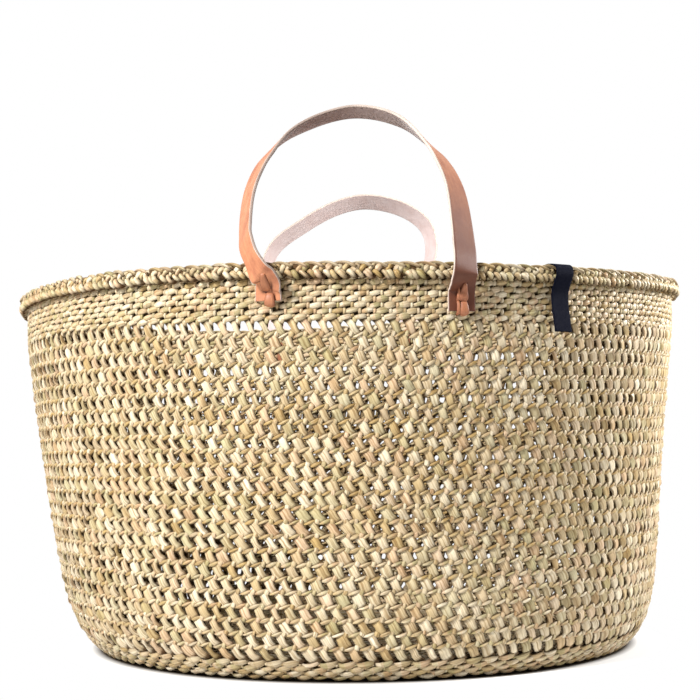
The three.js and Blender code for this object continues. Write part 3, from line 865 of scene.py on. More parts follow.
def outer_ribbons(mesh, shape, weave, starts, ends, top, bottom, width):
    """Outer stakes between two rows: flat ribbons leaning right, with both ends tucked under stitches"""
    random = mesh.random
    each = (len(starts), 1)
    loose = 0.045 * FULL_TURN / len(starts)
    seat = 0.25 * MM
    usual_roll = math.radians(14)
    # The ends go on past both rows, and a ribbon is fullest a little above its middle
    down = np.linspace(-0.14, 1.14, 9)
    bulge = np.sin(math.pi * np.clip(down, 0, 1) ** 0.85)
    starts = starts[:, None] + loose * random.normal(0, 1, each)
    ends = ends[:, None] + loose * random.normal(0, 1, each)
    turn = starts + (ends - starts) * (down + 0.09 * np.sin(FULL_TURN * down))
    level = np.broadcast_to(top + (bottom - top) * down, turn.shape)
    out = seat + weave.stake_bulge * bulge * random.uniform(0.7, 1.3, each)
    centre, outward = side_point(shape, weave.depth, turn, level, out)
    roll = usual_roll * random.normal(0.7, 0.8, each) * bulge
    sideways = ring_point(turn - math.pi / 2, 1.0, 0.0)
    outward = outward * np.cos(roll)[..., None] + sideways * np.sin(roll)[..., None]
    taper = 1 + 0.14 * random.normal(0, 1, each) * (down - 0.5)
    half_width = width / 2 * from_least(0.82, 1.6 * bulge) * random.normal(1, 0.12, each) * taper
    half_width *= 1 + weave.left_fullness * eased((-np.sin(turn) - 0.45) / 0.4)
    half_depth = weave.stake_depth / 2 * (0.8 + 0.2 * bulge)
    # Painted shade towards both tucked ends, along the edges and on the faces turned into the basket
    mesh.add(centre, outward, half_width, half_depth, random.beta(1.1, 2.2, each), ridged(9),
             shade=from_least(0.06, 2.0 * bulge), inside=0.35, edge_shade=0.3)


def inner_strands(mesh, shape, weave, middles, above, below, level, pitch):
    """Inner stakes round one row, each a knob between two stitches that leans left behind the ribbons"""
    random = mesh.random
    each = (len(middles), 1)
    lift = 0.4 * MM
    down = np.linspace(-0.5, 0.5, 11)
    front = np.cos(FULL_TURN * down)
    upper = (above + middles)[:, None] / 2
    lower = (below + middles)[:, None] / 2
    half_way = middles[:, None] + 0.04 * FULL_TURN / len(middles) * random.normal(0, 1, each)
    rising = half_way + (upper - half_way) * -2 * down
    falling = half_way + (lower - half_way) * 2 * down
    turn = np.where(down < 0, rising, falling)
    out = np.broadcast_to((1.75 * front - 0.1) * MM, turn.shape)
    heights = np.broadcast_to(level + lift - pitch * down, turn.shape)
    centre, outward = side_point(shape, weave.depth, turn, heights, out)
    half_width = weave.knob_width / 2 * from_least(0.78, front) * random.normal(1, 0.1, each)
    half_depth = weave.knob_depth / 2 * from_least(0.75, front)
    # Painted shade where the knob goes behind the ribbons, along its edges and on its inner faces
    mesh.add(centre, outward, half_width, half_depth, random.beta(1.3, 1.9, each), oval(8, 2.2),
             shade=from_least(0.04, 0.15 + 0.95 * front), inside=0.6, edge_shade=0.3)


class BASKET_OT_stakes(bpy.types.Operator):
    """Weave the leaning outer and inner stakes of the side"""
    bl_idname = "basket.stakes"
    bl_label = "Side stakes"

    def execute(self, context):
        shape, weave = context.scene.basket_shape, context.scene.basket_weave
        heights = knot_heights(shape, weave)
        pitch = heights[0] - heights[1]
        angles, there = stake_angles(weave)
        knobs = [knob_angles(row) for row in stitch_angles(weave)]
        material = straw_material("stakes")
        last = len(heights) - 1
        full_width_rows = 8
        for first in range(0, last, weave.rows_together):
            mesh = StrandMesh(SEEDS["stakes"] + first)
            for knot in range(first, min(first + weave.rows_together, last)):
                held = there[knot + 1]
                lower = eased((knot - 1) / (last - full_width_rows))
                width = weave.stake_width + (weave.low_stake_width - weave.stake_width) * lower
                if knot == 0:
                    width *= 0.8
                outer_ribbons(mesh, shape, weave, angles[knot][held], angles[knot + 1][held],
                              heights[knot], heights[knot + 1], width)
                step_left = (1 - weave.lean_share) * FULL_TURN / len(knobs[knot])
                above = nearest_angles(knobs[knot] + step_left, knobs[max(knot - 1, 0)])
                below = nearest_angles(knobs[knot] - step_left, knobs[knot + 1])
                inner_strands(mesh, shape, weave, knobs[knot], above, below, heights[knot], pitch)
            piece = mesh.build(f"leaning_stakes_{1 + first // weave.rows_together}", [material])
            finish_piece(piece, ["stake_wall"])
        return {"FINISHED"}


class BASKET_OT_open_rows(bpy.types.Operator):
    """Twine the open rows that hold the stakes"""
    bl_idname = "basket.open_rows"
    bl_label = "Open rows"

    def execute(self, context):
        shape, weave = context.scene.basket_shape, context.scene.basket_weave
        heights = knot_heights(shape, weave)
        stitches = stitch_angles(weave)
        on_side = partial(side_point, shape, weave.depth)
        material = straw_material("twine")
        swing = (weave.depth - weave.stitch_depth) / 2
        for first in range(1, weave.row_count + 1, weave.rows_together):
            mesh = StrandMesh(SEEDS["open_rows"] + first)
            nodes = []
            for knot in range(first, min(first + weave.rows_together, weave.row_count + 1)):
                lower = knot / weave.row_count
                twist = Twist(weave.stitch_height * (1 + 0.12 * lower), weave.stitch_depth, swing,
                              weave.stitch_rise * (1 - 0.3 * lower),
                              deeper=0.55 * math.sin(math.pi * min(1, 1.15 * lower)))
                twine_round(mesh, stitches[knot], at_level(on_side, heights[knot]), oval(8, 2.2), 6, twist)
                nodes.append(f"twine_row_{weave.row_count + 1 - knot:02d}")
            piece = mesh.build(f"open_rows_{1 + first // weave.rows_together}", [material])
            finish_piece(piece, nodes)
        return {"FINISHED"}


def close_stakes(mesh, stakes, levels, place, knob):
    """Stakes that pass through close rows and show as knobs in every other one"""
    random = mesh.random
    steps = 4
    row = np.arange((len(levels) - 1) * steps + 1) / steps
    shows = np.cos(math.pi * (row + np.arange(stakes)[:, None] + 1))
    loose = 0.04 * FULL_TURN / (stakes // 2)
    turn = even_round(stakes)[:, None] + loose * random.normal(0, 1, (stakes, 1))
    turn = np.broadcast_to(turn, shows.shape)
    level = np.broadcast_to(np.interp(row, np.arange(len(levels)), levels), shows.shape)
    centre, outward = place(turn, level, 0.2 * MM + knob * shows)
    tint = random.beta(1.2, 2.0, (stakes, 1))
    half_width, half_depth = 1.25 * MM, 1.1 * MM
    # Painted shade where a stake goes under a stitch, and along its edges
    mesh.add(centre, outward, half_width, half_depth, tint, oval(6, 2.3),
             shade=from_least(0.1, 0.4 + shows), edge_shade=0.4)


def shade_sheet(mesh, levels, place):
    """Thin dark ring of painted shade behind the close rows, so their small gaps show dark"""
    inset, half_depth = 0.8 * MM, 0.3 * MM
    half_height = (levels[-1] - levels[0]) / 2
    turn = even_round(SHADE_SHEET_STEPS)[None]
    middle = np.full_like(turn, (levels[0] + levels[-1]) / 2)
    centre, outward = place(turn, middle, np.full_like(turn, -inset))
    mesh.add(centre, outward, half_height, half_depth, 0.7, oval(8, 4), closed=True, shade=0.1, inside=0.6)


def close_rows(name, node, seed, stitches, levels, place, height, knob=1.5 * MM):
    """Close rows of plump stitches, each row half a stitch on from the one below, and the stakes in them.

    A stake lies under a stitch in one row and shows as a knob between stitches in the next."""
    material = straw_material("twine")
    twist = Twist(1.1 * height, 2.1 * MM, 2.0 * MM, 0.2 * height, ends=0.78, plateau=2.2)
    for first in range(0, len(levels), CLOSE_ROWS_TOGETHER):
        mesh = StrandMesh(seed + first)
        for row in range(first, min(first + CLOSE_ROWS_TOGETHER, len(levels))):
            angles = even_round(stitches, 0.5 * (row % 2))
            twine_round(mesh, angles, at_level(place, levels[row]), oval(8, 2.3), 6, twist)
        piece = mesh.build(f"{name}_rows_{1 + first // CLOSE_ROWS_TOGETHER}", [material])
        finish_piece(piece, [node])
    mesh = StrandMesh(seed + 50)
    close_stakes(mesh, 2 * stitches, levels, place, knob)
    shade_sheet(mesh, levels, place)
    finish_piece(mesh.build(f"{name}_stakes", [material]), [node])


class BASKET_OT_band(bpy.types.Operator):
    """Twine the close band under the rim, with its short upright stakes"""
    bl_idname = "basket.band"
    bl_label = "Close band"

    def execute(self, context):
        shape, weave = context.scene.basket_shape, context.scene.basket_weave
        pitch = shape.band_height / weave.band_rows
        levels = shape.band_bottom + (np.arange(weave.band_rows + 1) + 0.5) * pitch
        on_side = partial(side_point, shape, weave.depth)
        close_rows("close_band", "close_twined_band", SEEDS["band"], weave.top_count, levels, on_side, pitch)
        return {"FINISHED"}


class BASKET_OT_base_edge(bpy.types.Operator):
    """Twine the tight rows where the base turns up into the side"""
    bl_idname = "basket.base_edge"
    bl_label = "Tight base edge"

    def execute(self, context):
        shape, weave = context.scene.basket_shape, context.scene.basket_weave
        levels = np.linspace(0, shape.edge_height, 60)
        outline = np.stack([side_radius(shape, levels), levels], axis=-1)
        run = np.concatenate([[0], np.cumsum(np.linalg.norm(np.diff(outline, axis=0), axis=1))])
        pitch = run[-1] / weave.edge_rows

        def along_edge(turn, along, out):
            """Point at a distance along the rounded edge"""
            return side_point(shape, weave.depth, turn, np.interp(along, run, levels), out)

        rows = np.linspace(0.72 * pitch, run[-1] - 0.5 * pitch, weave.edge_rows)
        stitches = weave.foot_count * 4 // 5
        close_rows("base_edge", "tight_base_edge", SEEDS["base_edge"], stitches, rows, along_edge,
                   1.1 * pitch, 0.5 * MM)
        return {"FINISHED"}


class BASKET_OT_base(bpy.types.Operator):
    """Twine the flat base in rings round its spokes"""
    bl_idname = "basket.base"
    bl_label = "Woven base"

    def execute(self, context):
        shape, weave = context.scene.basket_shape, context.scene.basket_weave
        mesh = StrandMesh(SEEDS["base"])
        outer = side_radius(shape, 0.0) - 0.55 * weave.depth
        middle = 2.7 * MM
        spoke_half_width, spoke_half_depth, spoke_start = 1.6 * MM, 0.8 * MM, 12 * MM

        def on_base(turn, radius, out):
            """Point on the base, and the way up"""
            points = ring_point(turn, radius, middle + out)
            return settle(shape, points), np.broadcast_to((0.0, 0.0, 1.0), points.shape)

        twist = Twist(0.95 * weave.base_pitch, 2.0 * MM, 1.4 * MM, 0.5 * MM)
        for ring in range(int(outer / weave.base_pitch)):
            radius = outer - (ring + 0.5) * weave.base_pitch
            stitches = max(6, int(2 * round(radius * math.pi / weave.base_stitch)))
            angles = even_round(stitches, 0.5 * (ring % 2))
            twine_round(mesh, angles, at_level(on_base, radius), oval(6, 2.3), 4, twist)
        reach = np.linspace(spoke_start, outer, 8)
        turn, reach = np.broadcast_arrays(even_round(BASE_SPOKES)[:, None], reach)
        centre, outward = on_base(turn, reach, 0.0)
        tint = mesh.random.beta(1.4, 1.8, (BASE_SPOKES, 1))
        mesh.add(centre, outward, spoke_half_width, spoke_half_depth, tint, oval(6, 2.5))
        piece = mesh.build("base_rings", [straw_material("twine")])
        finish_piece(piece, ["woven_base"])
        return {"FINISHED"}


def plait(mesh, shape, weave, level, radius):
    """Three strands plaited flat, facing out and a little up, round a dark ring of painted shade"""
    strands, steps = 3, 20
    tip = math.radians(16)
    half_span, half_gap, loose = 3.7 * MM, 2.1 * MM, 0.55 * MM
    half_width, half_depth = 1.9 * MM, 1.6 * MM
    shade_ring_width, shade_ring_depth, shade_ring_lift = 3.8 * MM, 1.2 * MM, 1.6 * MM
    periods = round(FULL_TURN * radius / (strands * weave.plait_pitch))
    at = np.arange(periods * steps) / steps
    phase = FULL_TURN * (at + np.arange(strands)[:, None] / strands)
    wander = between_stitches(mesh.random.normal(0, 1, (strands, periods)), steps)
    plump = between_stitches(mesh.random.normal(1, 0.18, (strands, periods)), steps)
    drift = between_stitches(mesh.random.normal(0, 0.07, (strands, periods)), steps)
    zigzag = 0.9 * (np.sin(phase) - np.sin(3 * phase) / 9)
    sideways = (half_span + loose * wander) * zigzag
    out = half_gap * np.sin(2 * phase)
    turn = (at + drift) * FULL_TURN / periods
    points = ring_point(turn, radius + out * math.cos(tip) - sideways * math.sin(tip),
                        level + out * math.sin(tip) + sideways * math.cos(tip))
    outward = ring_point(turn, math.cos(tip), math.sin(tip))
    tint = np.repeat(runs_of_tint(mesh.random, strands, periods, 3), steps, axis=1)
    # Painted shade where a strand goes behind the others, and on inner faces where it comes in front
    shade = from_least(0.05, 0.3 + 0.95 * np.sin(2 * phase))
    inside = from_least(0.3, 0.4 - 0.9 * np.sin(2 * phase))
    mesh.add(settle(shape, points), outward, half_width * plump, half_depth, tint, oval(10, 2.3), closed=True,
             shade=shade, inside=inside, edge_shade=0.35)
    # A dark ring of painted shade in the plait, so its gaps show dark
    turn = even_round(SHADE_SHEET_STEPS)[None]
    shade_ring = settle(shape, ring_point(turn, radius, level + shade_ring_lift))
    mesh.add(shade_ring, ring_point(turn, 1.0, 0.0), shade_ring_width, shade_ring_depth, 0.8, oval(8, 3), closed=True,
             shade=0.1, inside=0.5)


def border_arcs(mesh, shape, weave, level, radius):
    """Stake ends laid along the top of the plait, each from behind over the top and into its outer face"""
    random = mesh.random
    count = round(FULL_TURN * radius / (2 * weave.plait_pitch))
    each = (count, 1)
    height, reach, loose = 2.6 * MM, 3.2 * MM, 0.4 * MM
    widest, half_depth = 1.6 * MM, 1.1 * MM
    along = np.linspace(-0.75, 0.75, 13)
    turn = even_round(count)[:, None] + (along + 0.1 * random.normal(0, 1, each)) * FULL_TURN / count
    lift = (1 - (along + 0.15) ** 2 / 0.6) * (1 + 0.12 * random.normal(0, 1, each))
    out = reach * (along + 0.1) + loose * random.normal(0, 1, each)
    points = ring_point(turn, radius + out, level + height * lift)
    lean = 0.6 * (along + 0.1) * np.ones(each)
    outward = ring_point(turn, np.sin(lean), np.cos(lean))
    half_width = widest * (0.6 + 0.4 * np.cos(math.pi * along / 1.6)) * random.normal(1, 0.16, each)
    tint = random.beta(1.2, 2.0, each)
    # Painted shade towards both ends, where the stake ends tuck in, and along the edges
    mesh.add(settle(shape, points), outward, half_width, half_depth, tint, oval(8, 2.3),
             shade=from_least(0.25, 2.0 - 2.4 * np.abs(along)), edge_shade=0.35)


class BASKET_OT_rim(bpy.types.Operator):
    """Plait the rim and lay the stake ends over it"""
    bl_idname = "basket.rim"
    bl_label = "Rim plait"

    def execute(self, context):
        shape, weave = context.scene.basket_shape, context.scene.basket_weave
        mesh = StrandMesh(SEEDS["rim"])
        radius = shape.rim_radius - shape.rim_width / 2
        plait(mesh, shape, weave, shape.height - 0.6 * shape.rim_height, radius)
        border_arcs(mesh, shape, weave, shape.height - 2.8 * MM, radius)
        piece = mesh.build("rim_plait", [straw_material("twine")])
        finish_piece(piece, ["rim_braid"])
        return {"FINISHED"}


# Straps, thongs and tag


def between(first, second, low, high, at):
    """Straight mix of two values, the first at low and the second at high"""
    return first * (high - at) / (high - low) + second * (at - low) / (high - low)


def smooth_line(points, spacing):
    """Evenly spaced points on a smooth line through the given ones (centripetal), and their run along it"""
    points = np.asarray(points, float)
    ends = [2 * points[0] - points[1], *points, 2 * points[-1] - points[-2]]
    pieces = []
    for four in zip(ends, ends[1:], ends[2:], ends[3:]):
        pairs = list(zip(four, four[1:]))
        knots = np.cumsum([0, *(math.sqrt(np.linalg.norm(b - a)) for a, b in pairs)])
        at = np.linspace(knots[1], knots[2], 40, endpoint=False)[:, None]
        a1, a2, a3 = (between(a, b, low, high, at) for (a, b), low, high in zip(pairs, knots, knots[1:]))
        b1 = between(a1, a2, knots[0], knots[2], at)
        b2 = between(a2, a3, knots[1], knots[3], at)
        pieces.append(between(b1, b2, knots[1], knots[2], at))
    dense = np.concatenate([*pieces, points[-1:]])
    run = np.concatenate([[0], np.cumsum(np.linalg.norm(np.diff(dense, axis=0), axis=1))])
    even = np.linspace(0, run[-1], max(2, round(run[-1] / spacing)) + 1)
    return np.stack([np.interp(even, run, dense[:, axis]) for axis in range(3)], axis=-1), even


def strap_levels(shape, strap):
    """Where the middle of a strap's thickness lies on the band, and where the strap flexes over the rim"""
    middle = shape.band_radius + shape.seat_gap + strap.thickness / 2
    across = middle * math.sin(strap.foot_angle)
    over_rim = math.sqrt(shape.rim_radius ** 2 - (across - strap.width / 2) ** 2) + shape.seat_gap
    return {
        "middle": middle,
        "flex_out": over_rim + strap.thickness / 2,
        "flex_height": shape.height + strap.flex_above_rim,
    }


def foot_line(shape, levels, drop, foot, start):
    """Points of one strap foot from its lower edge, out over the rim, to where its loop starts"""
    bottom = shape.height - drop
    line = []
    for below, out in ((drop / MM, FOOT_OUT[0][1]), *FOOT_OUT[1:]):
        height = shape.height - below * MM
        reach = levels["middle"] + out * MM
        lean = eased(1.5 * (height - bottom) / drop - 0.55)
        across = (foot + (start - foot) * lean) * MM
        line.append(ring_point(math.asin(across / reach), reach, height))
    return line


def rounded_strip(faces, edges):
    """Section of a strap: points along both faces and round both edges.

    Also what each side shows: 0 grain, 1 flesh side, 2 cut edge."""
    flat, rounded = 0.93, 0.07
    along = np.linspace(1, -1, faces)
    top = np.stack([flat * along, np.ones(faces)], axis=-1)
    bend = np.linspace(0, math.pi, edges + 2)[1:-1]
    left = np.stack([-flat - rounded * np.sin(bend), np.cos(bend)], axis=-1)
    section = np.concatenate([top, left, -top, -left])
    kinds = [0] * (faces - 1) + [2] * (edges + 1) + [1] * (faces - 1) + [2] * (edges + 1)
    return section, kinds


def turned(points, degrees):
    """Points turned round the basket's axis"""
    turn = math.radians(degrees)
    cos, sin = math.cos(turn), math.sin(turn)
    return points @ np.array([[cos, sin, 0], [-sin, cos, 0], [0, 0, 1]])


def twist_along(run, start, turns):
    """Twist of the strap in degrees at every step, from (distance past the flex line, twist) pairs"""
    rough = np.interp((run - start) / MM, *zip(*turns))
    window = np.hanning(19)[1:-1]
    padded = np.pad(rough, len(window) // 2, mode="edge")
    return np.convolve(padded, window / window.sum(), mode="valid")


def strap_path(shape, strap, loop):
    """Middle line of a whole strap from left foot to right foot, its run and the way its face looks.

    Also the way up of its loop, and the middle of its flex line."""
    levels = strap_levels(shape, strap)
    lean = math.radians(loop["lean_in"])
    up = np.array([0, math.sin(lean), math.cos(lean)])
    face = np.array([0, -math.cos(lean), math.sin(lean)])
    flex = np.array([0, -levels["flex_out"], levels["flex_height"]])
    side_step = np.array([1.0, 0, 0])
    arch = [flex + across * MM * side_step + rise * MM * up for across, rise in loop["line"]]
    drops = (strap.left_drop, strap.right_drop)
    left_foot, right_foot = (foot_line(shape, levels, *place)
                             for place in zip(drops, loop["feet"], loop["starts"]))
    points, run = smooth_line([*left_foot, *arch, *right_foot[::-1]], 0.7 * MM)
    half = len(run) // 2
    left_flex = run[np.searchsorted(points[:half, 2], levels["flex_height"])]
    right_flex = run[len(run) - 1 - np.searchsorted(points[:half:-1, 2], levels["flex_height"])]
    twist = np.minimum(twist_along(run, left_flex, loop["left_twist"]),
                       twist_along(-run, -right_flex, loop["right_twist"]))
    turn = np.radians(twist)
    change = 24 * MM
    in_loop = np.minimum(eased((run - left_flex) / change + 0.5), eased((right_flex - run) / change + 0.5))
    radial = unit(points * np.array([1, 1, 0]))
    steady = unit(radial * (1 - in_loop[:, None]) + face * in_loop[:, None])
    along = unit(np.gradient(points, axis=0))
    sideways = np.cross(steady, along)
    outward = steady * np.cos(turn)[:, None] + sideways * np.sin(turn)[:, None]
    return points, run, outward, up, flex


def foot_hole_shade(strap, run, section):
    """Painted shade at every point of a strap, for the holes and slits in its feet"""
    across = strap.width / 2 / MM * section[:, 0]
    dark = np.zeros((len(run), len(section)))
    for foot, from_end, side in (("left", run, 1), ("right", run[-1] - run, -1)):
        for middle, up, half_width, half_height, strength in FOOT_HOLE_SHADE[foot]:
            sideways = (side * across - middle) / half_width
            upwards = (from_end[:, None] / MM - up) / half_height
            dark = np.maximum(dark, strength * np.exp(-(sideways ** 2 + upwards ** 2)))
    return np.clip(dark, 0, 1) * (section[:, 1] > 0.5)


def strap_darkening(run, section):
    """How much darker a strap is made: its grain towards the right foot, and, as painted shade, its cut edges
    and flesh side to the left
    """
    grain = 0.9 * eased((run - run[-1] + 175 * MM) / (140 * MM))[:, None] * (section[:, 1] > 0.5)
    edges = 0.5 * eased((0.55 * run[-1] - run) / (60 * MM))[:, None] * (np.abs(section[:, 0]) > 0.94)
    flesh = 0.75 * eased((0.62 * run[-1] - run) / (90 * MM))[:, None] * (section[:, 1] < -0.5)
    return np.maximum(np.maximum(grain, edges), flesh)


class BASKET_OT_straps(bpy.types.Operator):
    """Cut the two leather strap handles, each one piece from foot to foot"""
    bl_idname = "basket.straps"
    bl_label = "Leather straps"

    def execute(self, context):
        shape, strap = context.scene.basket_shape, context.scene.basket_strap
        section, kinds = rounded_strip(25, 4)
        blend_below, blend_above = 3 * MM, 12 * MM
        for loop in LOOPS:
            mesh = StrandMesh(SEEDS["straps"] + loop["turn"])
            points, run, outward, up, flex = strap_path(shape, strap, loop)
            centre = settle(shape, turned(points, loop["turn"]))[None]
            facing = turned(outward, loop["turn"])[None]
            # Painted shade of the foot holes and slits, and on the front strap its darkening
            dark = foot_hole_shade(strap, run, section)
            if loop is FRONT_LOOP:
                dark = np.maximum(dark, strap_darkening(run, section))
            mesh.add(centre, facing, strap.width / 2, 0.44 * strap.thickness, dark[None], section,
                     slots=kinds)
            piece = mesh.build(f"{loop['name']}_strap", leather_materials())
            start = settle(shape, turned(flex - blend_below * up, loop["turn"]))
            end = settle(shape, turned(flex + blend_above * up, loop["turn"]))
            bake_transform(piece)
            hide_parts(*(f"{loop['name']}_{part}" for part in
                                 ("strap_loop", "strap_foot_left", "strap_foot_right")))
        return {"FINISHED"}


def stands_out(below):
    """How far a strap foot stands out from the band, so many millimetres below the top of the rim"""
    places, outs = zip(*reversed(FOOT_OUT))
    return MM * np.interp(below, places, outs)


def lobe(mesh, shape, strap, turn, path, width, tip):
    """One stitch of thong along (out, up) points at one place round the band, narrow above and round below"""
    section = oval(10, 2.6)
    points = [ring_point(turn, out, up) for out, up in path]
    line, run = smooth_line(points, 0.5 * MM)
    down = run / run[-1]
    narrow_top = np.minimum(1, tip + (1 - tip) * (down / 0.6) ** 0.8)
    half = width / 2 * narrow_top * (1 - 0.35 * eased((down - 0.75) / 0.25))
    # Darker tone over the whole thong, and painted shade along both its edges
    outline = (0.22 + 0.45 * np.abs(section[:, 0]) ** 4) * np.ones((len(down), 1))
    along = unit(np.gradient(line, axis=0))
    tangent = ring_point(turn + math.pi / 2, 1.0, 0.0)
    outward = np.cross(tangent, along)
    mesh.add(settle(shape, line)[None], outward[None], half[None], strap.thong_thickness / 2, outline[None],
             section)


def lacing_path(low, high, proud):
    """(up, out) in millimetres along a stitch that comes out of the leather at the top and goes in below"""
    middle = low + 0.55 * (high - low)
    return [(high, -3), (high - 0.6, 0.5), (middle, proud), (low + 0.8, proud - 0.5), (low, -2.5)]


def inside_path(inner, low, top):
    """(out, up) along the thong inside the band"""
    return [
        (inner + 4 * MM, top),
        (inner - 0.6 * MM, top - 0.6 * MM),
        (inner - 1.2 * MM, (top + low) / 2),
        (inner - 0.6 * MM, low + 0.6 * MM),
        (inner + 4 * MM, low),
    ]


def lace_foot(mesh, shape, strap, name, turn, drop):
    """Thong over one strap foot, and the thong behind it inside the band"""
    face = strap_levels(shape, strap)["middle"] + strap.thickness / 2
    bottom = shape.height - drop
    for across, low, high, width, proud, tip in LACING[name]:
        path = [(face + out * MM + stands_out(drop / MM - up), bottom + up * MM)
                for up, out in lacing_path(low, high, proud)]
        lobe(mesh, shape, strap, turn + across * MM / face, path, width * MM, tip)
    inner = shape.band_radius - 6.3 * MM
    top_hole = LACING[name][0][2]
    path = inside_path(inner, bottom - 1.6 * MM, bottom + top_hole * MM)
    lobe(mesh, shape, strap, turn, path, strap.thong_width, 0.7)


class BASKET_OT_thongs(bpy.types.Operator):
    """Lace the strap feet to the band"""
    bl_idname = "basket.thongs"
    bl_label = "Lacing thongs"

    def execute(self, context):
        shape, strap = context.scene.basket_shape, context.scene.basket_strap
        middle = strap_levels(shape, strap)["middle"]
        for loop in LOOPS:
            for name, side, drop in (("left", -1, strap.left_drop), ("right", 1, strap.right_drop)):
                mesh = StrandMesh(SEEDS["thongs"] + loop["turn"] + side)
                foot = loop["feet"][(side + 1) // 2]
                turn = math.asin(foot * MM / middle) + math.radians(loop["turn"])
                lace_foot(mesh, shape, strap, name, turn, drop)
                piece = mesh.build(f"{loop['name']}_{name}_lacing", leather_materials()[:1])
                finish_piece(piece, [f"{loop['name']}_thong_{name}"])
        return {"FINISHED"}


class BASKET_OT_tag(bpy.types.Operator):
    """Fold the bare tape tag over the rim"""
    bl_idname = "basket.tag"
    bl_label = "Tape tag"

    def execute(self, context):
        shape, tag = context.scene.basket_shape, context.scene.basket_tag
        mesh = StrandMesh(SEEDS["tag"])
        half = tag.thickness / 2
        out = shape.band_radius + shape.seat_gap + half
        rim_out = shape.rim_radius + shape.seat_gap + half
        inside = shape.band_radius - 7.2 * MM - half
        top = shape.height + shape.seat_gap + half
        folds = ((out, TAG_OUTSIDE), (rim_out, TAG_OVER_RIM), (inside, TAG_INSIDE))
        path = [
            (out + TAG_FLARE * MM, shape.height - tag.outer_drop),
            *((face + away * MM, top - below * MM) for face, fold in folds for away, below in fold),
            (inside, shape.height - tag.inner_drop),
        ]
        line, run = smooth_line([(0, -radius, height) for radius, height in path], 0.8 * MM)
        along = unit(np.gradient(line, axis=0))
        outward = np.cross(np.array([1.0, 0, 0]), along)
        place = math.degrees(tag.place)
        centre = settle(shape, turned(line, place))[None]
        section, _ = rounded_strip(10, 2)
        mesh.add(centre, turned(outward, place)[None], tag.width / 2, half, 0.0, section)
        piece = mesh.build("folded_tag", [tape_material()])
        finish_piece(piece, ["label_tape"])
        return {"FINISHED"}


# Stage


def seen_directly(tree):
    """One for what the eye sees, also in gloss or through glass, and nothing for light on the basket"""
    light = put(tree, "ShaderNodeLightPath")
    seen = calc(tree, "MAXIMUM", light.outputs["Is Camera Ray"], light.outputs["Is Glossy Ray"])
    return calc(tree, "MAXIMUM", seen, light.outputs["Is Transmission Ray"])


def floor_material(shape, settings):
    """Pale floor with a painted contact shadow where the base touches it, that keeps the cast shadow and
    fades into white further off
    """
    material, tree, shader = new_material("pale_floor")
    shader.inputs["Roughness"].default_value = 0.8
    shader.inputs["Specular IOR Level"].default_value = 0.1
    white = put(tree, "ShaderNodeEmission", [("Color", WHITE), ("Strength", 1.0)])
    spot = put(tree, "ShaderNodeTexCoord").outputs["Object"]
    for operation, by in (("ADD", (-shape.base_shift, shape.base_push, 0)), ("MULTIPLY", (1.03, 1, 1))):
        spot = put(tree, "ShaderNodeVectorMath", [(0, spot), (1, by)], operation=operation).outputs["Vector"]
    far = put(tree, "ShaderNodeVectorMath", [(0, spot)], operation="LENGTH").outputs["Value"]
    edge = shape.foot_radius - shape.foot_inset
    fade = ramp(tree, far, edge + 8 * MM, edge + 32 * MM, 0.0, 1.0)
    # Painted contact shadow in a thin ring round the base
    contact_shadow = ramp(tree, far, edge + 1 * MM, edge + 9 * MM, 1.0, 0.0)
    tone = blend_colours(tree, contact_shadow, rgba(settings.floor), FLOOR_CONTACT_SHADOW)
    tree.links.new(tone, shader.inputs["Base Color"])
    white_share = calc(tree, "MULTIPLY", fade, seen_directly(tree))
    mix = put(tree, "ShaderNodeMixShader", [(0, white_share), (1, shader.outputs[0]), (2, white.outputs[0])])
    tree.links.new(mix.outputs[0], tree.nodes["Material Output"].inputs["Surface"])
    return material


def make_floor(scene):
    """Flat floor under the basket"""
    reach = FLOOR_REACH
    corners = [(-reach, -reach, 0), (reach, -reach, 0), (reach, reach, 0), (-reach, reach, 0)]
    mesh = bpy.data.meshes.new("floor")
    mesh.from_pydata(corners, [], [(0, 1, 2, 3)])
    mesh.materials.append(floor_material(scene.basket_shape, scene.basket_stage))
    floor = bpy.data.objects.new("floor", mesh)
    scene.collection.objects.link(floor)
    floor.location.z = -FLOOR_DROP


def make_world(scene):
    """White to the eye, and a weaker even light on the basket"""
    world = bpy.data.worlds.new("studio")
    scene.world = world
    world.use_nodes = True
    tree = world.node_tree
    strength = ramp(tree, seen_directly(tree), 0.0, 1.0, scene.basket_stage.sky, 1.0)
    back = tree.nodes["Background"]
    back.inputs["Color"].default_value = WHITE
    tree.links.new(strength, back.inputs["Strength"])


def soft_light(scene, lamp):
    """Square soft light, its power taken from the stage's settings"""
    data = bpy.data.lights.new(lamp.name, "AREA")
    data.size = lamp.breadth
    data.energy = getattr(scene.basket_stage, lamp.power)
    light = bpy.data.objects.new(lamp.name, data)
    scene.collection.objects.link(light)
    light.location = lamp.place
    direction = np.array(lamp.aim) - np.array(lamp.place)
    level = math.hypot(direction[0], direction[1])
    light.rotation_euler = (math.atan2(level, -direction[2]), 0, math.atan2(-direction[0], direction[1]))


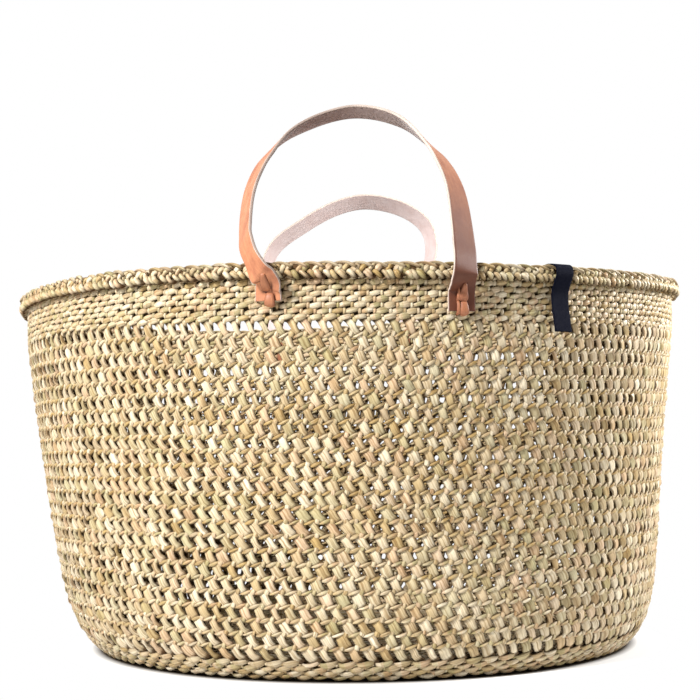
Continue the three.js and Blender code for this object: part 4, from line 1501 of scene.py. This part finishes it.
def make_camera(scene):
    """Camera of the photograph"""
    data = bpy.data.cameras.new("camera")
    data.lens = scene.basket_stage.focal_length
    data.sensor_width = SENSOR_WIDTH
    data.shift_x, data.shift_y = (pixels / PHOTO_WIDTH for pixels in PHOTO_SHIFT)
    camera = bpy.data.objects.new("camera", data)
    scene.collection.objects.link(camera)
    camera.location = CAMERA_PLACE
    camera.rotation_euler = [math.radians(turn) for turn in CAMERA_TURN]
    scene.camera = camera


class BASKET_OT_stage(bpy.types.Operator):
    """Set the floor, light and camera of the photograph"""
    bl_idname = "basket.stage"
    bl_label = "Stage"

    def execute(self, context):
        scene = context.scene
        scene.view_settings.view_transform = "Standard"
        make_floor(scene)
        make_world(scene)
        for lamp in LAMPS:
            soft_light(scene, lamp)
        make_camera(scene)
        return {"FINISHED"}


OPERATORS = (BASKET_OT_stage, BASKET_OT_stakes, BASKET_OT_open_rows, BASKET_OT_band, BASKET_OT_base_edge,
             BASKET_OT_base, BASKET_OT_rim, BASKET_OT_straps, BASKET_OT_thongs, BASKET_OT_tag)


class BASKET_PT_panel(bpy.types.Panel):
    """Every step of the basket"""
    bl_label = "Twined Floor Basket"
    bl_idname = "BASKET_PT_panel"
    bl_space_type = "VIEW_3D"
    bl_region_type = "UI"
    bl_category = "Basket"

    def draw(self, context):
        for operator in OPERATORS:
            self.layout.operator(operator.bl_idname)


def register():
    """Make the settings, operators and panel known to Blender"""
    for name, group in GROUPS.items():
        bpy.utils.register_class(group)
        setattr(bpy.types.Scene, name, PointerProperty(type=group))
    for item in (*OPERATORS, BASKET_PT_panel):
        bpy.utils.register_class(item)


def unregister():
    """Take them away again"""
    for item in (BASKET_PT_panel, *reversed(OPERATORS)):
        bpy.utils.unregister_class(item)
    for name, group in GROUPS.items():
        delattr(bpy.types.Scene, name)
        bpy.utils.unregister_class(group)


def main():
    """Build the basket and its stage"""
    register()
    for operator in OPERATORS:
        module, name = operator.bl_idname.split(".")
        getattr(getattr(bpy.ops, module), name)()


if __name__ == "__main__":
    main()
